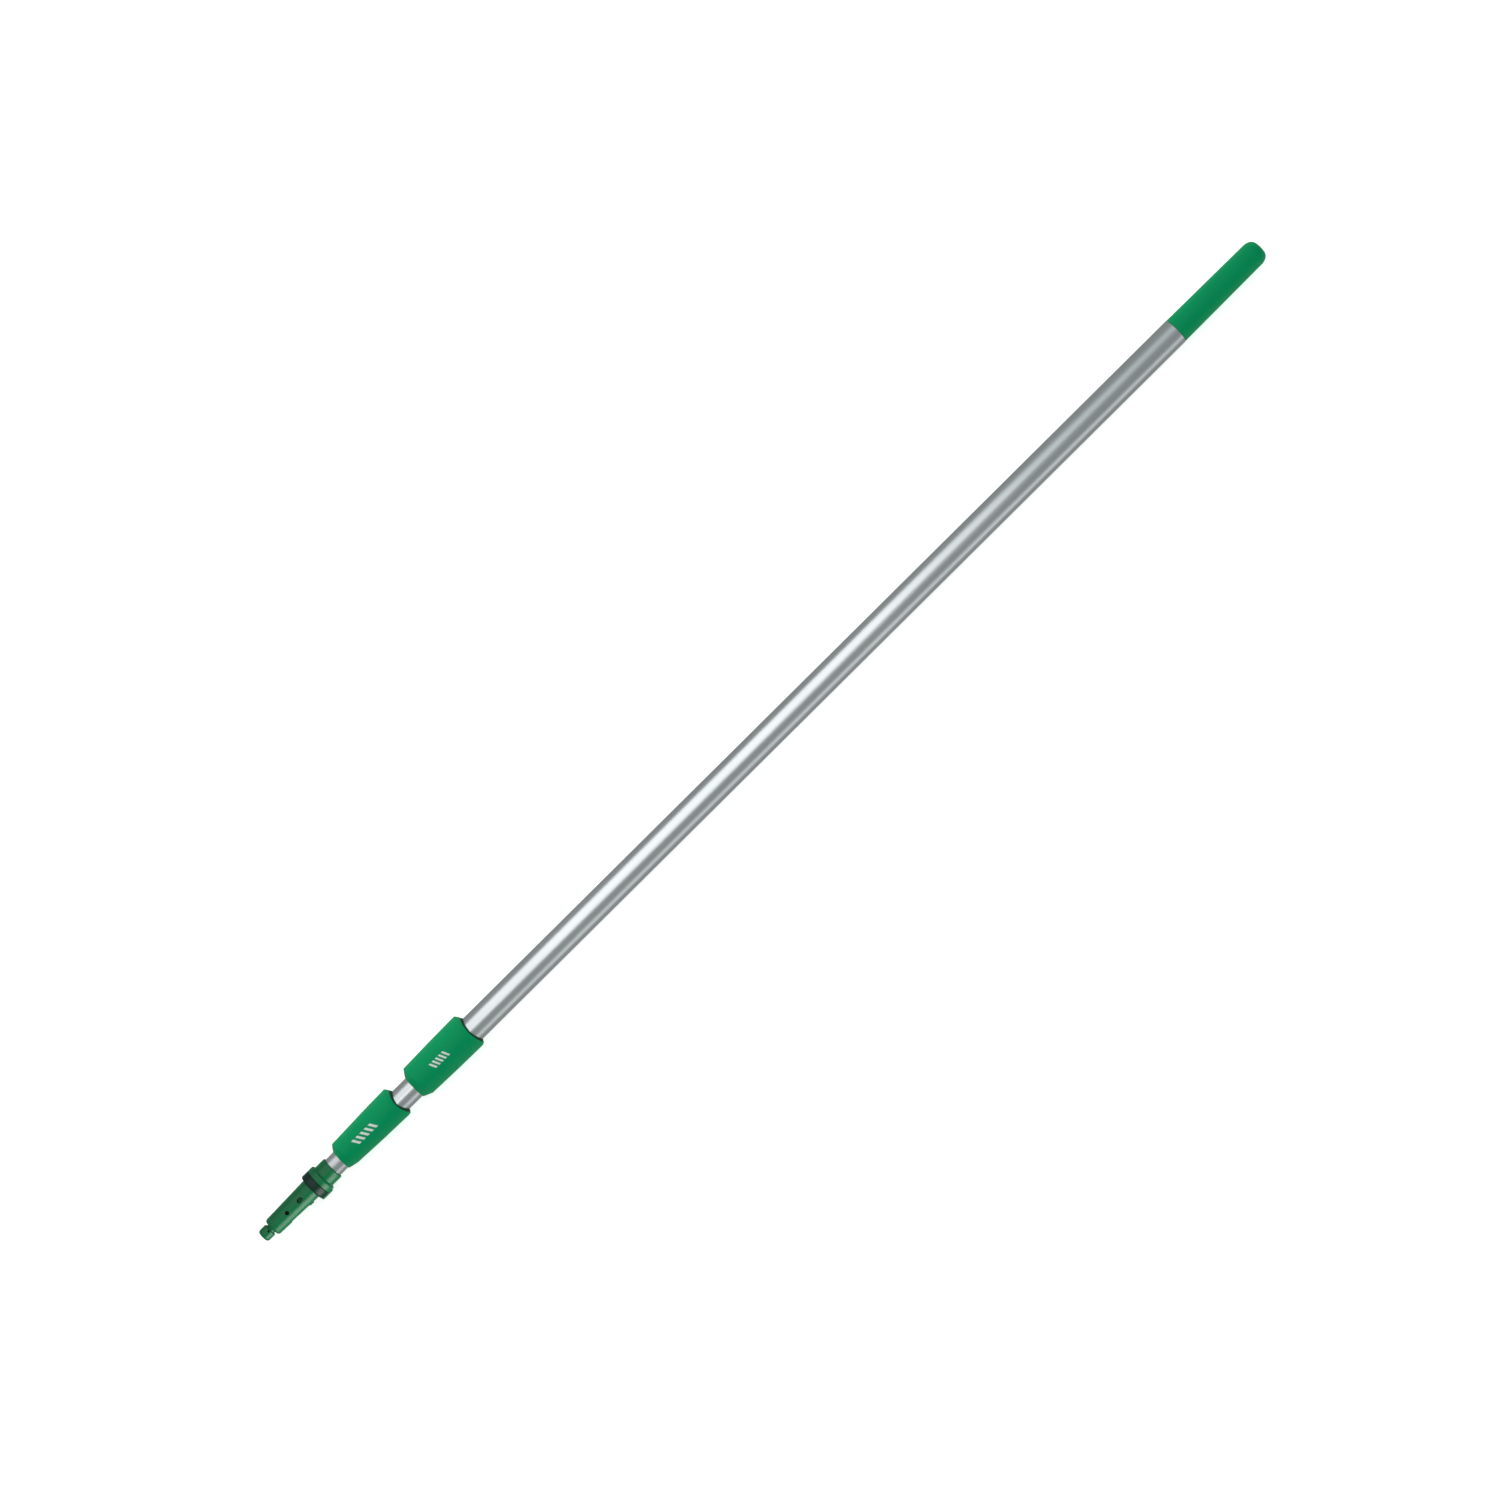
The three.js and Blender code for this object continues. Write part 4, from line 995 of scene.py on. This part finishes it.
# ---- Latch ----
# A moulded lever turns on the pivot pin and carries the release button; a wire spring under it
# pushes the button out. The tooth half-way along it locks the tool.

BUTTON_EDGE = 1.6 * MM
dark_green_nylon = moulded_plastic("dark_green_nylon", "#05663F", "#045535", 0.45)
finish_cad("latch_lever", dark_green_nylon)


def button_points():
    """The button as a stack of rounded outlines: its plan is a rounded rectangle whose sides
    draw in towards the top by a quarter circle, so the top edge is soft all round."""
    middle = [(a + b) / 2 for a, b in zip(button_low, button_high)]
    half_x = (button_high[0] - button_low[0]) / 2
    half_z = (button_high[2] - button_low[2]) / 2
    top, foot = button_low[1], button_high[1]
    edge = BUTTON_EDGE
    t = np.linspace(0, 2 * math.pi, 96, endpoint=False)
    c, s = np.cos(t), np.sin(t)
    corner = 1.0 / np.maximum(np.abs(c) ** 8 + np.abs(s) ** 8, 1e-9) ** (1 / 8)
    levels = [(1.0, foot), (1.0, top + edge)]
    for angle in np.linspace(0, math.pi / 2, 9)[1:]:
        drawn_in = 0.9 * edge / half_z * (1 - math.cos(angle))
        levels.append((1 - drawn_in, top + edge * (1 - math.sin(angle))))
    shares = np.linspace(levels[-1][0], 0, 6)[1:]
    levels += [(share, top) for share in shares]
    levels.insert(0, (0.0, foot))
    rings = []
    for share, y in levels:
        in_x = half_x - (1 - share) * half_z if share > 0.5 else half_x * share * 1.3
        in_x = min(in_x, half_x)
        rings.append(
            np.stack(
                [middle[0] + in_x * c * corner, y + 0 * t, middle[2] + half_z * share * s * corner],
                axis=-1,
            )
        )
    return np.array(rings)


button = surface("latch_button_fine", button_points(), loop=False, smooth_to=50)
fit(button, "latch_button", green_gloss, "latch")

# A small softbox stands by the flank of the cone and lights the tool end only.
cone_glow = softbox(
    "cone_side_softbox", angle=-66, distance=0.9, x_range=(-1.05, -0.62), width=0.75, radiance=9.0
)
tool_end = bpy.data.collections.new("lit_by_cone_side_softbox")
for piece in (knob, cone, stop, collar, button):
    tool_end.objects.link(piece)
cone_glow.light_linking.receiver_collection = tool_end

WIRE_R = 0.35 * MM
SPRING_TURNS = 4.0


def spring_points(columns=10, per_turn=40):
    """A helix along Y with a round section: the section's circle is carried along the wire on
    the radial direction and the direction square to it and the wire."""
    low, high = spring_low[1] + WIRE_R, spring_high[1] - WIRE_R
    middle_z = (spring_low[2] + spring_high[2]) / 2
    radius = (spring_high[0] - spring_low[0]) / 2 - WIRE_R
    share = np.linspace(0, 1, int(SPRING_TURNS * per_turn) + 1)
    angle = share * SPRING_TURNS * 2 * math.pi
    out = np.stack([np.cos(angle), 0 * angle, np.sin(angle)], -1)
    x, z = spring_x + radius * out[:, 0], middle_z + radius * out[:, 2]
    middle = np.stack([x, low + (high - low) * share, z], -1)
    along = np.gradient(middle, axis=0)
    along /= np.linalg.norm(along, axis=1, keepdims=True)
    other = np.cross(along, out)
    t = np.linspace(0, 2 * math.pi, columns, endpoint=False)
    cos_t, sin_t = np.cos(t)[None, :, None], np.sin(t)[None, :, None]
    rings = middle[:, None] + WIRE_R * (cos_t * out[:, None] + sin_t * other[:, None])
    ends = [np.repeat(middle[k : k + 1, None], columns, axis=1) for k in (0, -1)]
    return np.concatenate([ends[0], rings, ends[1]])


spring = surface("latch_spring_fine", spring_points(), loop=False, smooth_to=60)
fit(spring, "latch_spring", bright_steel, "inner_section")
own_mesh(spring)


# ---- Hand grip ----
# A moulded cup that carries on the line of the tube and ends in a dome; its spigot is pushed into
# the tube and held by a dowel. Its skin has the same fine grain as the sleeves.

GRIP_FRONT_R, GRIP_REAR_R = 15.5 * MM, 14.75 * MM
GRIP_DOME = 13 * MM
GRIP_WALL = 3.2 * MM
grip_low, grip_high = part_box("hand_grip")
grip_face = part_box("outer_tube")[1][0] + SEAT_GAP
spigot_r = OUTER_R - TUBE_WALL - SEAT_GAP
grip_bore = spigot_r - GRIP_WALL
floor_x = grip_high[0] - GRIP_DOME

bend = np.linspace(0, math.pi / 2, 25)
dome = np.stack(
    [floor_x + GRIP_DOME * np.sin(bend), GRIP_REAR_R * np.sqrt(np.clip(np.cos(bend), 0, 1))], -1
)
inside = rounded(
    [
        (floor_x, 0, 0),
        (floor_x, grip_bore, 1 * MM),
        (grip_low[0], grip_bore, 0.3 * MM),
        (grip_low[0], spigot_r, 0.6 * MM),
        (grip_face, spigot_r, 0),
        (grip_face, GRIP_FRONT_R, 0.5 * MM),
        (floor_x, GRIP_REAR_R, 0),
    ],
    steps=5,
)[:-1]
grip = turned("hand_grip_fine", np.concatenate([inside, dome]), wall=False)
cut_away(grip, bar_along_z(PIN_HOLE_R, middle_x("grip_pin"), -CUT_REACH, 0))
fit(grip, "hand_grip", green_grained, "pole_body")
